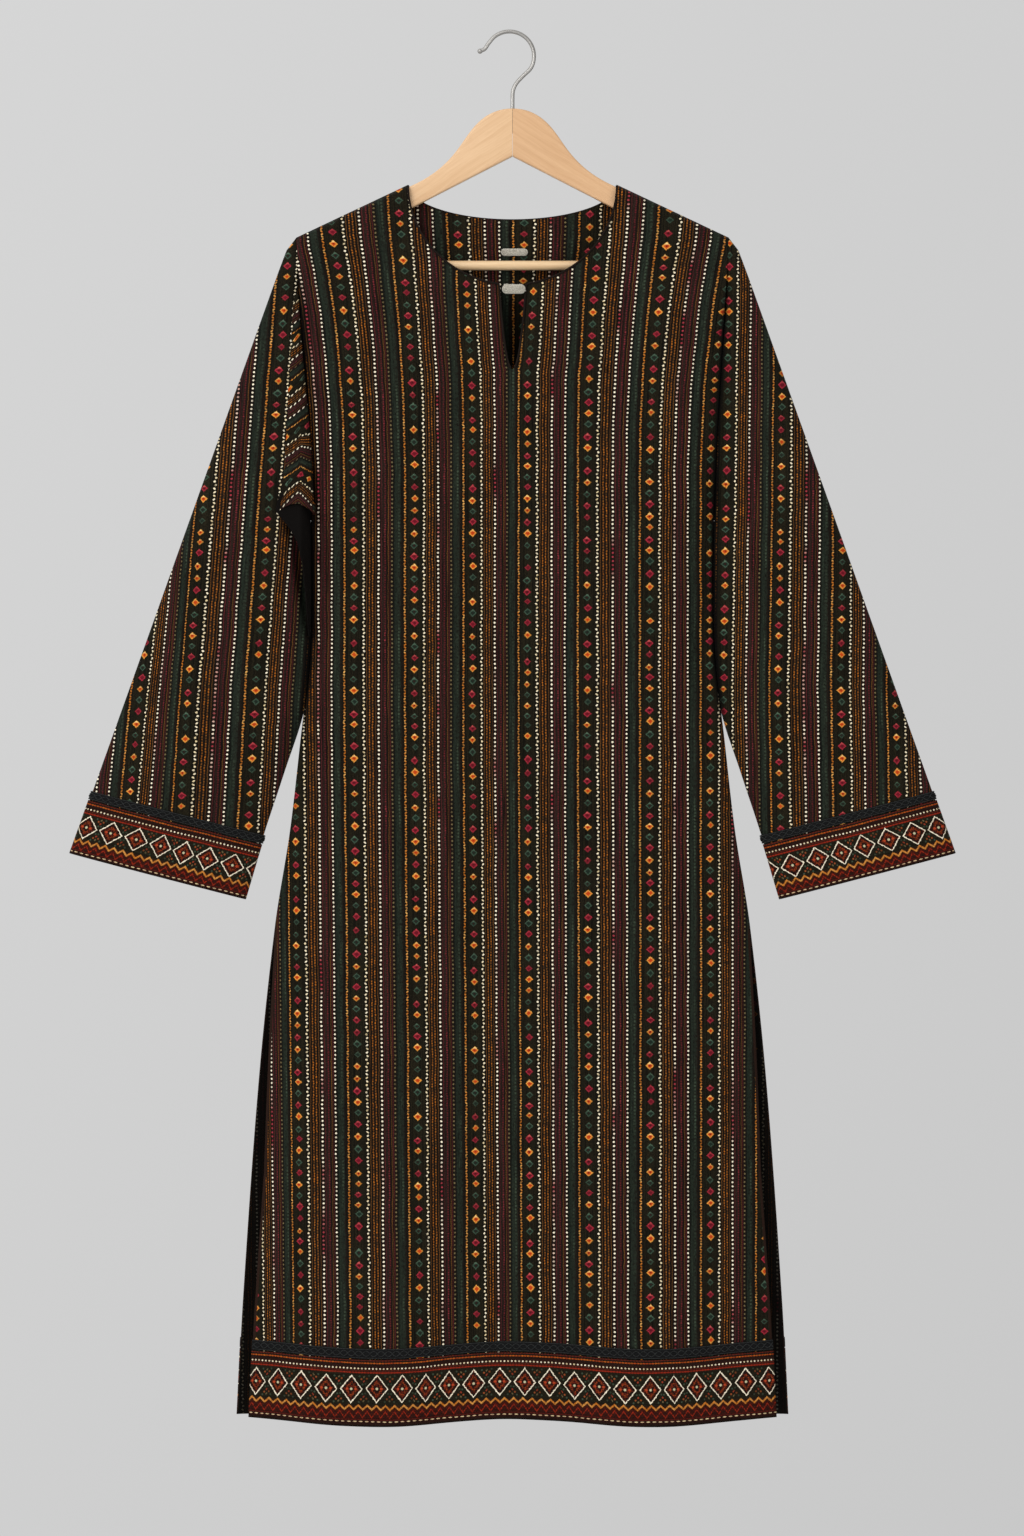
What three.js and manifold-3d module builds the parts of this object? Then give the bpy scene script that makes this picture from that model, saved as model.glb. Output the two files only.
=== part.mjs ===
// A long striped tunic with a round neck, a neck slit, straight flared sleeves and side vents,
// hung on a wooden hanger with a steel hook and a trouser bar.
// Millimetres, +Z up, the front faces -Y. The origin is where the hook rests on a rail.
// Left and right are as seen from the front.
import * as THREE from 'three';
import { mergeVertices } from 'three/addons/utils/BufferGeometryUtils.js';
import Module from 'manifold-3d';

// Cloth
const WALL = 1.5;            // thickness of the embroidered cloth
const SEAM = 0.3;            // gap between two pieces
const TRIM = 1.2;            // thickness of a band, braid or binding on the cloth

// Heights on the garment
const NECK_Z = -151.2;       // top of the shoulder seam, at the neck
const SHOULDER_Z = -204;     // outer end of the shoulder seam
const ARMPIT_Z = -487;
const SLIT_Z = -337;         // lower end of the neck slit
const VENT_Z = -892;         // upper end of the side vents
const HEM_Z = -1381.5;       // hem at the centre front
const HEM_WAVE = 7.2;        // how far the hem dips halfway to each side
const HEM_WAVELENGTH = 280;

// Neck
const NECK_HALF = 104.3;     // half the width of the neck
const FRONT_NECK_DROP = 101.3;
const BACK_NECK_DROP = 34.5;
const SLIT_HALF = 13.5;      // half the width of the slit at its top

// Side line of the body, as pairs of height and half width
const SIDE_LINE = [[-204, 216], [-330, 208.5], [-424, 203.5], [-530, 201], [-620, 202.5],
  [-706, 212], [-797, 222.5], [-892, 237.5], [-1047, 254], [-1267, 270], [-1385, 276]];
const FRONT_VENT_PULL = 13;  // how much narrower than the back the front hangs at its hem
const VENT_PULL_BEND = 0.8;  // below 1, the front draws in soon after the vent's top

// Depth of the body, as pairs of height and half depth
const DEPTH_LINE = [[-204, 14], [-330, 22], [-487, 23], [-892, 28], [-1385, 38]];
const SHOULDER_ROUND = 10.5; // radius of the cloth where it lies over the hanger
const SHOULDER_SETTLE = 150; // fall over which the cloth reaches its full depth
const ARMHOLE_DEPTH = 17;    // half depth of the armhole at its middle
const VENT_DEPTH = 12;       // half the gap between the panels at the hem
const VENT_DEPTH_BEND = 0.7;
const LOOP_BEND = 0.4;       // how blunt the closed loop of an armhole or a sleeve is at its ends
const SLIT_BEND = 0.45;      // how blunt the slit is at its lower end
const CROWN_BEND = 0.8;      // how round a panel turns to its side
const FLATNESS = { shoulder: 16, chest: 4 }; // how near its side a panel starts to turn

// Soft upright folds: the height where they begin, and their depths
const FOLDS_START_Z = -420;
const BROAD_FOLD = 4.5;
const NARROW_FOLD = { depth: 1.6, wavelength: 118, frontPhase: 0.6, backPhase: 2.4 };

// Sleeve
const OUTER_LINE = [[216, -204], [226, -217], [235, -241], [442, -820]];
const INNER_LINE = [[-640, 199], [-667, 207], [-702, 217], [-737, 227.5], [-798, 247.6], [-866, 268]];
const SLEEVE_GAP = 1.0;      // clearance of the hanging sleeve beside the body
const SLEEVE_DEPTH = [[0, 17], [60, 21], [235, 26], [420, 23], [650, 15]];
// The left sleeve's cloth swells over a fold beside the armpit, between two heights
const ARMPIT_FOLD = { x: 222, reach: 30, top: [-300, -390], bottom: [-470, -500], swell: 9 };

// Bands and braids, measured up from the edge
const HEM_BAND = 66;
const HEM_BRAID = [67, 77];
const CUFF_BAND = 56.5;
const CUFF_BRAID = [57.5, 66];

// Closure bar over the top of the neck slit, and the plain tag inside the back neck
const CLOSURE = { left: -11.5, right: 14, top: -252.5, bottom: -262, thick: 3 };
const TAG = { left: -11.5, right: 15.5, top: -214, bottom: -221.5, thick: 1.2 };

// Hanger
const WOOD = 11;             // thickness of the wood
const HOOK_WIRE = 4;
const HOOK_RADIUS = 24.5;
const HOOK_SHIFT = -3;       // the hook's curve is centred a little left of its shank
const HOOK_TURN = [-34, 150]; // the curve's start and end, in degrees
const HOOK_TURN_STEPS = 8;
const HOOK_FOOT = [[0, -80], [0, -60], [1.4, -53.5], [9, -45]]; // from the shank to the curve
const HOOK_TIP = [[-27.8, -15.4], [-32.5, -17.7]];
const HOOK_TIP_RADIUS = 2.6;
const WOOD_CHAMFER = 4;
const WOOD_TOP_Z = -75.3;
const WOOD_APEX_Z = -123.1;  // underside of the wood at the centre
const WOOD_BELOW_CLOTH = 2.9;
const WOOD_CROWN = [25, -75.3, 38, -92, 46.5, -104.3];  // from the top centre to the neck of the wood
const WOOD_THROAT = [56, -118, 68, -138];              // and on to the straight arm
const WOOD_STRAIGHT = { from: 102, to: 192 };
const WOOD_TIP_Z = -214;     // lower end of the rounded tip
const UNDERSIDE_SLOPE = 0.513;
const BOSS = { inner: 184.5, outer: 205, bottom: -241 };
const SHANK_END_Z = -100;
const BORE_RADIUS = 2.5;
const BORE_ABOVE_WOOD = 10;  // so that the bore cuts clean through the wood's top
const ROOM = 300;            // more than the wood's half length, to cut it into two arms
const BAR_Z = -232;
const BAR_RADIUS = 4.8;
const BAR_HALF = BOSS.inner - SEAM;

const half = SEAM / 2;
const object = new THREE.Group();
const wasm = await Module();
wasm.setup();

const cloth = { color: 0x33261f, roughness: 0.9, metalness: 0 };
const bandCloth = { color: 0x5a2418, roughness: 0.9, metalness: 0 };
const braidCloth = { color: 0x2a2e30, roughness: 0.85, metalness: 0 };
const edgeCloth = { color: 0x1d1713, roughness: 0.9, metalness: 0 };
const beads = { color: 0xc9c7c0, roughness: 0.6, metalness: 0 };
const lightWood = { color: 0xe4be91, roughness: 0.5, metalness: 0 };
const darkWood = { color: 0xdeaf80, roughness: 0.5, metalness: 0 };
const steel = { color: 0xb5b2ac, roughness: 0.25, metalness: 1 };

function addNode(name, geometry, look) {
  const mesh = new THREE.Mesh(geometry, new THREE.MeshStandardMaterial(look));
  mesh.name = name;
  object.add(mesh);
}

/** A smooth curve y(x) through pairs listed by falling or rising x; level beyond both ends. */
function curve(pairs) {
  const points = [...pairs].sort((a, b) => a[0] - b[0]);
  const last = points.length - 1;
  const slope = points.map((p, i) => {
    const before = points[Math.max(i - 1, 0)];
    const after = points[Math.min(i + 1, last)];
    return (after[1] - before[1]) / (after[0] - before[0]);
  });
  return (x) => {
    if (x <= points[0][0]) return points[0][1];
    if (x >= points[last][0]) return points[last][1];
    const i = points.findIndex((p) => p[0] > x) - 1;
    const span = points[i + 1][0] - points[i][0];
    const t = (x - points[i][0]) / span;
    const rise = points[i + 1][1] - points[i][1];
    const bend = (slope[i] * span - rise) * (1 - t) + (rise - slope[i + 1] * span) * t;
    return points[i][1] + rise * t + bend * t * (1 - t);
  };
}

const sideLine = curve(SIDE_LINE);
const depthLine = curve(DEPTH_LINE);
const innerLine = curve(INNER_LINE);
const sleeveDepth = curve(SLEEVE_DEPTH);
const shoulderSlope = (NECK_Z - SHOULDER_Z) / (sideLine(SHOULDER_Z) - NECK_HALF);
const mix = THREE.MathUtils.lerp;

/** Share of the way down the vent, 0 at its top and 1 at the hem. */
function ventShare(z) {
  return Math.max(0, (VENT_Z - z) / (VENT_Z - HEM_Z));
}

function halfWidth(z, isFront) {
  const pull = isFront ? FRONT_VENT_PULL * Math.min(1, ventShare(z) * 2) ** VENT_PULL_BEND : 0;
  return sideLine(z) - pull;
}

/** Half depth of the loop where a sleeve joins, at share u of the way from shoulder to armpit. */
function loopShape(u) {
  return Math.max(0, 4 * u * (1 - u)) ** LOOP_BEND;
}

function edgeDepth(z) {
  if (z < VENT_Z) return half + VENT_DEPTH * ventShare(z) ** VENT_DEPTH_BEND;
  if (z < ARMPIT_Z) return half;
  return half + ARMHOLE_DEPTH * loopShape((z - SHOULDER_Z) / (ARMPIT_Z - SHOULDER_Z));
}

/** Depth of the cloth at a fall below the shoulder line, before the sides pull it in. */
function fullDepth(fall, z) {
  const round = Math.min(fall, SHOULDER_ROUND);
  const overHanger = Math.sqrt(SHOULDER_ROUND ** 2 - (SHOULDER_ROUND - round) ** 2);
  const settle = THREE.MathUtils.smoothstep(fall, SHOULDER_ROUND, SHOULDER_SETTLE);
  return overHanger + (depthLine(z) - SHOULDER_ROUND) * settle;
}

/** Soft upright folds, deepest at the hem. */
function folds(x, z, isFront) {
  const swell = THREE.MathUtils.smoothstep(-z, -FOLDS_START_Z, -HEM_Z);
  const broad = -Math.cos((2 * Math.PI * x) / HEM_WAVELENGTH);
  const phase = isFront ? NARROW_FOLD.frontPhase : NARROW_FOLD.backPhase;
  const narrow = Math.sin((2 * Math.PI * x) / NARROW_FOLD.wavelength + phase);
  return swell * (BROAD_FOLD * broad + NARROW_FOLD.depth * narrow);
}

/** A point of the front or back panel: f runs from the centre line to the side. */
function bodyPoint(f, z, centre, side, isFront) {
  const x = mix(centre, halfWidth(z, isFront), f);
  const fall = NECK_Z - (x - NECK_HALF) * shoulderSlope - z;
  const atEdge = edgeDepth(z);
  const flatness = mix(FLATNESS.shoulder, FLATNESS.chest, THREE.MathUtils.smoothstep(fall, 0, SHOULDER_SETTLE));
  const crown = (1 - f ** flatness) ** CROWN_BEND;
  const full = fullDepth(Math.max(0, fall), z) + folds(side * x, z, isFront);
  const y = Math.max(half, atEdge + (full - atEdge) * crown);
  return new THREE.Vector3(side * x, isFront ? -y : y, z);
}

/** A sheet collects welded points, and faces that turn counterclockwise seen from outside. */
class Sheet {
  constructor() {
    this.points = [];
    this.faces = [];
    this.found = new Map();
  }

  add(point) {
    const key = point.toArray().map((v) => Math.round(v * 1000) + 0).join();
    if (!this.found.has(key)) {
      this.found.set(key, this.points.length);
      this.points.push(point);
    }
    return this.found.get(key);
  }

  /** Adds a grid of rows; a flipped grid turns its faces over. tag(row, column) labels each cell. */
  grid(rows, flipped, tag = () => '') {
    const ids = rows.map((row) => row.map((p) => this.add(p)));
    for (let r = 0; r + 1 < ids.length; r += 1) {
      for (let c = 0; c + 1 < ids[r].length; c += 1) {
        const [a, b, d, e] = [ids[r][c], ids[r][c + 1], ids[r + 1][c + 1], ids[r + 1][c]];
        for (const face of [[a, b, d], [a, d, e]]) {
          if (new Set(face).size < 3) continue;
          this.faces.push({ ids: flipped ? [face[0], face[2], face[1]] : face, tag: tag(r, c) });
        }
      }
    }
  }

  normals() {
    const sum = this.points.map(() => new THREE.Vector3());
    for (const { ids } of this.faces) {
      const [a, b, c] = ids.map((i) => this.points[i]);
      const n = b.clone().sub(a).cross(c.clone().sub(a));
      ids.forEach((i) => sum[i].add(n));
    }
    return sum.map((n) => n.normalize());
  }
}

/** A closed wall over some of a sheet's faces, between two distances out along its normals. */
function wall(sheet, outer, inner, keep = () => true, settle = (p) => p) {
  const normals = sheet.normals();
  const faces = sheet.faces.filter(keep).map((face) => face.ids);
  const positions = [];
  const place = (distance) => {
    const start = positions.length / 3;
    sheet.points.forEach((p, i) => {
      positions.push(...settle(p.clone().addScaledVector(normals[i], distance)).toArray());
    });
    return start;
  };
  const top = place(outer);
  const under = place(inner);
  const edges = new Map();
  const index = [];
  for (const [a, b, c] of faces) {
    index.push(top + a, top + b, top + c, under + a, under + c, under + b);
    for (const [i, j] of [[a, b], [b, c], [c, a]]) {
      if (edges.delete(`${j},${i}`)) continue;
      edges.set(`${i},${j}`, [i, j]);
    }
  }
  for (const [i, j] of edges.values()) {
    index.push(top + j, top + i, under + i, top + j, under + i, under + j);
  }
  const geometry = new THREE.BufferGeometry();
  geometry.setAttribute('position', new THREE.Float32BufferAttribute(positions, 3));
  geometry.setIndex(index);
  return compact(geometry);
}

/** Drops the points that no face uses. */
function compact(geometry) {
  return mergeVertices(geometry.toNonIndexed(), 1e-4);
}

// Rows of a panel, as shares of the way up between two heights
const ARM_SHARES = [0.12, 0.25, 0.41, 0.59, 0.75, 0.88, 0.967, 0.989, 1];
const SLIT_ROW = 3;
const WAIST_ROWS = [-545, -605, -660, -706, -751, -797, -845, VENT_Z];
const SKIRT_ROWS = 4;
const TRIM_ROWS = [HEM_BRAID[1], HEM_BRAID[0], HEM_BAND, HEM_BAND / 2, 0];
const NECK_SHARES = [1, 0.8, 0.6, 0.42, 0.27, 0.14, 0.05, 0];
const SHOULDER_WIDTHS = [132, 164, 190, 206];

function hemHeight(x) {
  return HEM_Z - HEM_WAVE * Math.sin((Math.PI * x) / HEM_WAVELENGTH) ** 2;
}

function topHeight(x, isFront) {
  if (x >= NECK_HALF) return NECK_Z - (x - NECK_HALF) * shoulderSlope;
  const drop = isFront ? FRONT_NECK_DROP : BACK_NECK_DROP;
  return NECK_Z - drop * Math.sqrt(1 - (x / NECK_HALF) ** 2);
}

/** Half widths of the panel's upright lines where they meet the neck or the shoulder. */
function topWidths(start) {
  const turn = Math.acos(start / NECK_HALF);
  const neck = NECK_SHARES.map((share) => NECK_HALF * Math.cos(turn * share));
  return [...neck, ...SHOULDER_WIDTHS, sideLine(SHOULDER_Z)];
}

/** Half width of the slit at a height. */
function slitHalf(z) {
  const share = (z - SLIT_Z) / (NECK_Z - FRONT_NECK_DROP - SLIT_Z);
  return SLIT_HALF * Math.min(1, Math.max(0, share)) ** SLIT_BEND;
}

/** Heights down one upright line of a panel. */
function lineHeights(f, top, isFront) {
  const slitShare = (SLIT_Z - ARMPIT_Z) / (top - ARMPIT_Z);
  const upper = ARM_SHARES.map((share, k) => {
    const atSlit = isFront && k === SLIT_ROW && f < 0.5;
    return mix(ARMPIT_Z, top, atSlit ? mix(slitShare, share, f * 2) : share);
  });
  const hem = hemHeight(f * halfWidth(HEM_Z, isFront));
  const trims = TRIM_ROWS.map((up) => hem + up);
  const skirt = Array.from({ length: SKIRT_ROWS - 1 }, (_, k) => mix(VENT_Z, trims[0], (k + 1) / SKIRT_ROWS));
  return [...upper.reverse(), ARMPIT_Z, ...WAIST_ROWS, ...skirt, ...trims];
}

/** Rows of points from the shoulder down to the hem, for one side of a panel. */
function panelRows(side, isFront) {
  const start = isFront ? SLIT_HALF : 0;
  const widths = topWidths(start);
  const shares = widths.map((x) => (x - start) / (sideLine(SHOULDER_Z) - start));
  const heights = shares.map((f, c) => lineHeights(f, topHeight(widths[c], isFront), isFront));
  return heights[0].map((_, r) => shares.map((f, c) => {
    const z = heights[c][r];
    return bodyPoint(f, z, isFront ? slitHalf(z) : 0, side, isFront);
  }));
}

function panelSheet(isFront) {
  const sheet = new Sheet();
  for (const side of [1, -1]) {
    const rows = panelRows(side, isFront);
    const braidRow = rows.length - TRIM_ROWS.length;
    const tag = (r, c) => {
      if (r >= braidRow + 2) return 'band';
      if (r === braidRow) return 'braid';
      if (r === 0 && c < NECK_SHARES.length - 2) return isFront && side < 0 ? 'neck_left' : 'neck_right';
      return 'plain';
    };
    sheet.grid(rows, (side > 0) === isFront, tag);
  }
  return sheet;
}

/** Keeps a panel's points on its own side of the side seams and shoulder seams. */
function onSide(isFront) {
  return (p) => p.setY(isFront ? Math.min(p.y, -half) : Math.max(p.y, half));
}

/** Keeps a sleeve's points clear of the body. */
function besideBody(side) {
  return (p) => p.setX(side * Math.max(side * p.x, sideLine(p.z) + SEAM));
}

const tagged = (...tags) => (face) => tags.includes(face.tag);

function addPanel(name, isFront) {
  const sheet = panelSheet(isFront);
  const settle = onSide(isFront);
  addNode(`${name}_panel`, wall(sheet, 0, -WALL, () => true, settle), cloth);
  addNode(`hem_band_${name}`, wall(sheet, SEAM + TRIM, SEAM, tagged('band')), bandCloth);
  addNode(`hem_braid_${name}`, wall(sheet, SEAM + TRIM, SEAM, tagged('braid')), braidCloth);
  return sheet;
}

const frontSheet = addPanel('front', true);
const backSheet = addPanel('back', false);
addNode('neck_binding_front_left', wall(frontSheet, SEAM + TRIM, SEAM, tagged('neck_left'), onSide(true)), edgeCloth);
addNode('neck_binding_front_right', wall(frontSheet, SEAM + TRIM, SEAM, tagged('neck_right'), onSide(true)), edgeCloth);
addNode('neck_binding_back', wall(backSheet, SEAM + TRIM, SEAM, tagged('neck_right'), onSide(false)), edgeCloth);

// Sleeves: rings that fan round the armpit and then run down to the cuff
const RING_STEPS = [0, 10, 30, 75, 135, 200, 270, 345, 420, 500];
const CUFF_ROWS = [CUFF_BRAID[1], CUFF_BRAID[0], CUFF_BAND, CUFF_BAND / 2, 0];
const FAN_END_Z = -460;      // height of the outer edge where the rings stop fanning
const FAN_SOFTNESS = 25;
const FAN_CREEP = 0.03;

const outerPath = new THREE.CurvePath();
for (let i = 0; i + 1 < OUTER_LINE.length; i += 1) {
  const [from, to] = [OUTER_LINE[i], OUTER_LINE[i + 1]].map((p) => new THREE.Vector2(...p));
  outerPath.add(new THREE.LineCurve(from, to));
}

/** Inner point of the ring whose outer point is at a height. */
function ringInner(outerZ) {
  const drop = FAN_SOFTNESS * Math.log1p(Math.exp((FAN_END_Z - outerZ) / FAN_SOFTNESS));
  const z = ARMPIT_Z - drop - FAN_CREEP * (SHOULDER_Z - outerZ);
  return new THREE.Vector2(Math.max(sideLine(z) + SLEEVE_GAP, innerLine(z)), z);
}

/** How far the front of the left sleeve swells at a place. */
function armpitFold(x, z) {
  const across = Math.exp(-(((x - ARMPIT_FOLD.x) / ARMPIT_FOLD.reach) ** 2));
  const above = THREE.MathUtils.smoothstep(z, ARMPIT_FOLD.bottom[1], ARMPIT_FOLD.bottom[0]);
  const below = 1 - THREE.MathUtils.smoothstep(z, ARMPIT_FOLD.top[1], ARMPIT_FOLD.top[0]);
  return ARMPIT_FOLD.swell * across * above * below;
}

/** One closed ring of a sleeve, from its outer edge over the front to the inner edge and back. */
function sleeveRing(distance, length, side) {
  const outer = outerPath.getPoint(distance / length);
  const inner = ringInner(outer.y);
  const shares = [...ARM_SHARES].reverse().map((share) => 1 - share).concat(1);
  const at = (u, facing) => {
    const p = outer.clone().lerp(inner, u);
    if (distance === 0) p.set(0, mix(SHOULDER_Z, ARMPIT_Z, u)).setX(sideLine(p.y) + SEAM);
    const swell = side < 0 && facing < 0 && distance > 0 ? armpitFold(p.x, p.y) : 0;
    const depth = (sleeveDepth(distance) + swell) * loopShape(u);
    return new THREE.Vector3(side * p.x, facing * depth, p.y);
  };
  const front = shares.map((u) => at(u, -1));
  const back = shares.slice(1, -1).reverse().map((u) => at(u, 1));
  return [...front, ...back, front[0]];
}

function addSleeve(name, side) {
  const length = outerPath.getLength();
  const steps = [...RING_STEPS, ...CUFF_ROWS.map((up) => length - up)];
  const braidRow = RING_STEPS.length;
  const sheet = new Sheet();
  const tag = (r) => {
    if (r >= braidRow + 2) return 'band';
    return r === braidRow ? 'braid' : 'plain';
  };
  sheet.grid(steps.map((step) => sleeveRing(step, length, side)), side < 0, tag);
  addNode(`sleeve_${name}`, wall(sheet, 0, -WALL, () => true, besideBody(side)), cloth);
  addNode(`cuff_band_${name}`, wall(sheet, SEAM + TRIM, SEAM, tagged('band')), bandCloth);
  addNode(`cuff_braid_${name}`, wall(sheet, SEAM + TRIM, SEAM, tagged('braid')), braidCloth);
}

addSleeve('left', -1);
addSleeve('right', 1);

/** A bar with round ends, lying upright in the plane that faces the front; y is its front face. */
function roundBar({ left, right, top, bottom, thick }, y) {
  const radius = (top - bottom) / 2;
  const middle = (top + bottom) / 2;
  const shape = new THREE.Shape();
  shape.absarc(right - radius, middle, radius, -Math.PI / 2, Math.PI / 2);
  shape.absarc(left + radius, middle, radius, Math.PI / 2, 1.5 * Math.PI);
  const geometry = new THREE.ExtrudeGeometry(shape, { depth: thick, bevelEnabled: false, curveSegments: 6 });
  return geometry.rotateX(Math.PI / 2).translate(0, y + thick, 0);
}

const closureFace = bodyPoint(0, CLOSURE.top, SLIT_HALF, 1, true).y - TRIM - 3 * SEAM - CLOSURE.thick;
addNode('neck_closure_bar', roundBar(CLOSURE, closureFace), beads);
const tagFace = bodyPoint(0, TAG.top, 0, 1, false).y - WALL - 2 * SEAM - TAG.thick;
addNode('back_neck_tag', roundBar(TAG, tagFace), beads);

// Hanger
function solid(geometry) {
  const bare = geometry.clone();
  bare.deleteAttribute('normal');
  bare.deleteAttribute('uv');
  const merged = mergeVertices(bare, 1e-4);
  return new wasm.Manifold(new wasm.Mesh({
    numProp: 3,
    vertProperties: new Float32Array(merged.attributes.position.array),
    triVerts: new Uint32Array(merged.index.array),
  }));
}

function geometryOf(manifold) {
  const mesh = manifold.getMesh();
  const geometry = new THREE.BufferGeometry();
  geometry.setAttribute('position', new THREE.BufferAttribute(mesh.vertProperties, 3));
  geometry.setIndex(new THREE.BufferAttribute(mesh.triVerts, 1));
  return geometry;
}

function woodTop(x) {
  return NECK_Z - (x - NECK_HALF) * shoulderSlope - WOOD_BELOW_CLOTH;
}

/** Outline of the hanger's right half, from the top centre out to the tip and back underneath. */
function woodHalf() {
  const path = new THREE.Path();
  path.moveTo(0, WOOD_TOP_Z);
  path.bezierCurveTo(...WOOD_CROWN);
  path.bezierCurveTo(...WOOD_THROAT, WOOD_STRAIGHT.from, woodTop(WOOD_STRAIGHT.from));
  path.lineTo(WOOD_STRAIGHT.to, woodTop(WOOD_STRAIGHT.to));
  path.quadraticCurveTo(BOSS.outer, woodTop(BOSS.outer), BOSS.outer, WOOD_TIP_Z);
  path.lineTo(BOSS.outer, BOSS.bottom);
  path.lineTo(BOSS.inner, BOSS.bottom);
  path.lineTo(BOSS.inner, WOOD_APEX_Z - UNDERSIDE_SLOPE * BOSS.inner);
  path.lineTo(0, WOOD_APEX_Z);
  return path.getPoints(7);
}

function woodSolid() {
  const right = woodHalf();
  const left = right.slice(1, -1).reverse().map((p) => new THREE.Vector2(-p.x, p.y));
  const geometry = new THREE.ExtrudeGeometry(new THREE.Shape([...right, ...left]), {
    depth: WOOD - 2 * WOOD_CHAMFER,
    bevelThickness: WOOD_CHAMFER,
    bevelSize: WOOD_CHAMFER,
    bevelOffset: -WOOD_CHAMFER,
    bevelSegments: 1,
  });
  return solid(geometry.rotateX(Math.PI / 2).translate(0, WOOD / 2 - WOOD_CHAMFER, 0));
}

function addHanger() {
  const boreLength = WOOD_TOP_Z - SHANK_END_Z + BORE_ABOVE_WOOD;
  const bore = new THREE.CylinderGeometry(BORE_RADIUS, BORE_RADIUS, boreLength, 16).rotateX(Math.PI / 2);
  bore.translate(0, 0, WOOD_TOP_Z + BORE_ABOVE_WOOD - boreLength / 2 - SEAM);
  const wood = woodSolid().subtract(solid(bore));
  for (const [name, side, look] of [['left', -1, lightWood], ['right', 1, darkWood]]) {
    const room = new THREE.BoxGeometry(ROOM, ROOM, ROOM).translate(side * (ROOM / 2 + half), 0, -ROOM / 2);
    addNode(`hanger_arm_${name}`, geometryOf(wood.intersect(solid(room))), look);
  }
  const bar = new THREE.CylinderGeometry(BAR_RADIUS, BAR_RADIUS, 2 * BAR_HALF, 16);
  addNode('trouser_bar', bar.rotateZ(Math.PI / 2).translate(0, 0, BAR_Z), lightWood);
}

/** The hook's centre line: up the shank, out, round the curve and out again at the tip. */
function hookPath() {
  const wire = HOOK_WIRE / 2;
  const points = [[0, SHANK_END_Z], ...HOOK_FOOT];
  const [start, end] = HOOK_TURN;
  for (let turn = start; turn <= end; turn += (end - start) / HOOK_TURN_STEPS) {
    const angle = THREE.MathUtils.degToRad(turn);
    points.push([HOOK_SHIFT + HOOK_RADIUS * Math.cos(angle), wire - HOOK_RADIUS * (1 - Math.sin(angle))]);
  }
  points.push(...HOOK_TIP);
  return new THREE.CatmullRomCurve3(points.map(([x, z]) => new THREE.Vector3(x, 0, z)));
}

function addHook() {
  const path = hookPath();
  const section = new THREE.Shape().absarc(0, 0, HOOK_WIRE / 2, 0, 2 * Math.PI);
  const wire = new THREE.ExtrudeGeometry(section, { extrudePath: path, steps: 44, curveSegments: 4 });
  const tip = new THREE.SphereGeometry(HOOK_TIP_RADIUS, 10, 8).translate(...path.getPoint(1).toArray());
  addNode('hook', geometryOf(solid(wire).add(solid(tip))), steel);
}

addHanger();
addHook();

export default object;
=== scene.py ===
from math import cos, pi, radians, sin

import bpy
import numpy as np
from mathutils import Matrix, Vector


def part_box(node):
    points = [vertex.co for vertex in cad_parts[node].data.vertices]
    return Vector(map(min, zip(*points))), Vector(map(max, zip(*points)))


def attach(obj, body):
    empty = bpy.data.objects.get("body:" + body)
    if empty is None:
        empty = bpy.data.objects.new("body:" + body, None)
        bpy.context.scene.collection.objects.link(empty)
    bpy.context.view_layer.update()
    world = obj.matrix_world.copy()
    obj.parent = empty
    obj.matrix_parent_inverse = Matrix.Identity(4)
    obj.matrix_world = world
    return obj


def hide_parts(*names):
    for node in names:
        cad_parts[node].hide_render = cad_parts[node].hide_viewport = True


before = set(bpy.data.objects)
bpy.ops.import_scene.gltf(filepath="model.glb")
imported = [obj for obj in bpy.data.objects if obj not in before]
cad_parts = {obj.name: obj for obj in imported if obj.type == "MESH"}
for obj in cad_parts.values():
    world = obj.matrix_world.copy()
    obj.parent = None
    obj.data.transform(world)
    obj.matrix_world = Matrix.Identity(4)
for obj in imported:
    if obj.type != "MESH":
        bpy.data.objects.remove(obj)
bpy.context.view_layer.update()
MM = 0.001

# ---------------------------------------------------------------- sizes, in millimetres
SEAM = 0.3
HALF_SEAM = SEAM / 2
SHELL = 1.1                    # thickness of the cloth
TRIM_LIFT = 0.35               # gap between the cloth and what is sewn on it
TRIM = 1.0                     # thickness of a band

NECK_Z = -151.2
SHOULDER_Z = -204
ARMPIT_Z = -487
SLIT_Z = -337
VENT_Z = -892
HEM_Z = -1381.5
HEM_WAVE = 7.2
HEM_WAVELENGTH = 280

NECK_HALF = 104.3
FRONT_NECK_DROP = 101.3
BACK_NECK_DROP = 34.5
SLIT_HALF = 13.5

SIDE_LINE = [[-204, 216], [-330, 208.5], [-424, 203.5], [-530, 201], [-620, 202.5],
             [-706, 212], [-797, 222.5], [-892, 237.5], [-1047, 254], [-1267, 270], [-1385, 276]]
FRONT_VENT_PULL = 13
DEPTH_LINE = [[-204, 14], [-330, 22], [-487, 23], [-892, 28], [-1385, 38]]
SHOULDER_ROUND = 10.5
SHOULDER_SETTLE = 150
ARMHOLE_DEPTH = 17
VENT_DEPTH = 12

OUTER_LINE = [[216, -204], [226, -217], [235, -241], [442, -820]]
INNER_LINE = [[-640, 199], [-667, 207], [-702, 217], [-737, 227.5], [-798, 247.6], [-866, 268]]
SLEEVE_GAP = 0.35
SEWN = 0.03                    # gap at the armhole seam, closed by its stitches
SLEEVE_DEPTH = [[0, 17], [60, 21], [235, 26], [420, 23], [650, 15]]
FAN_END_Z = -460
FAN_SOFTNESS = 25
FAN_CREEP = 0.03

HEM_BAND = 66
HEM_BRAID = [67, 77]
CUFF_BAND = 56.5
CUFF_BRAID = [57.5, 66]


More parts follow.
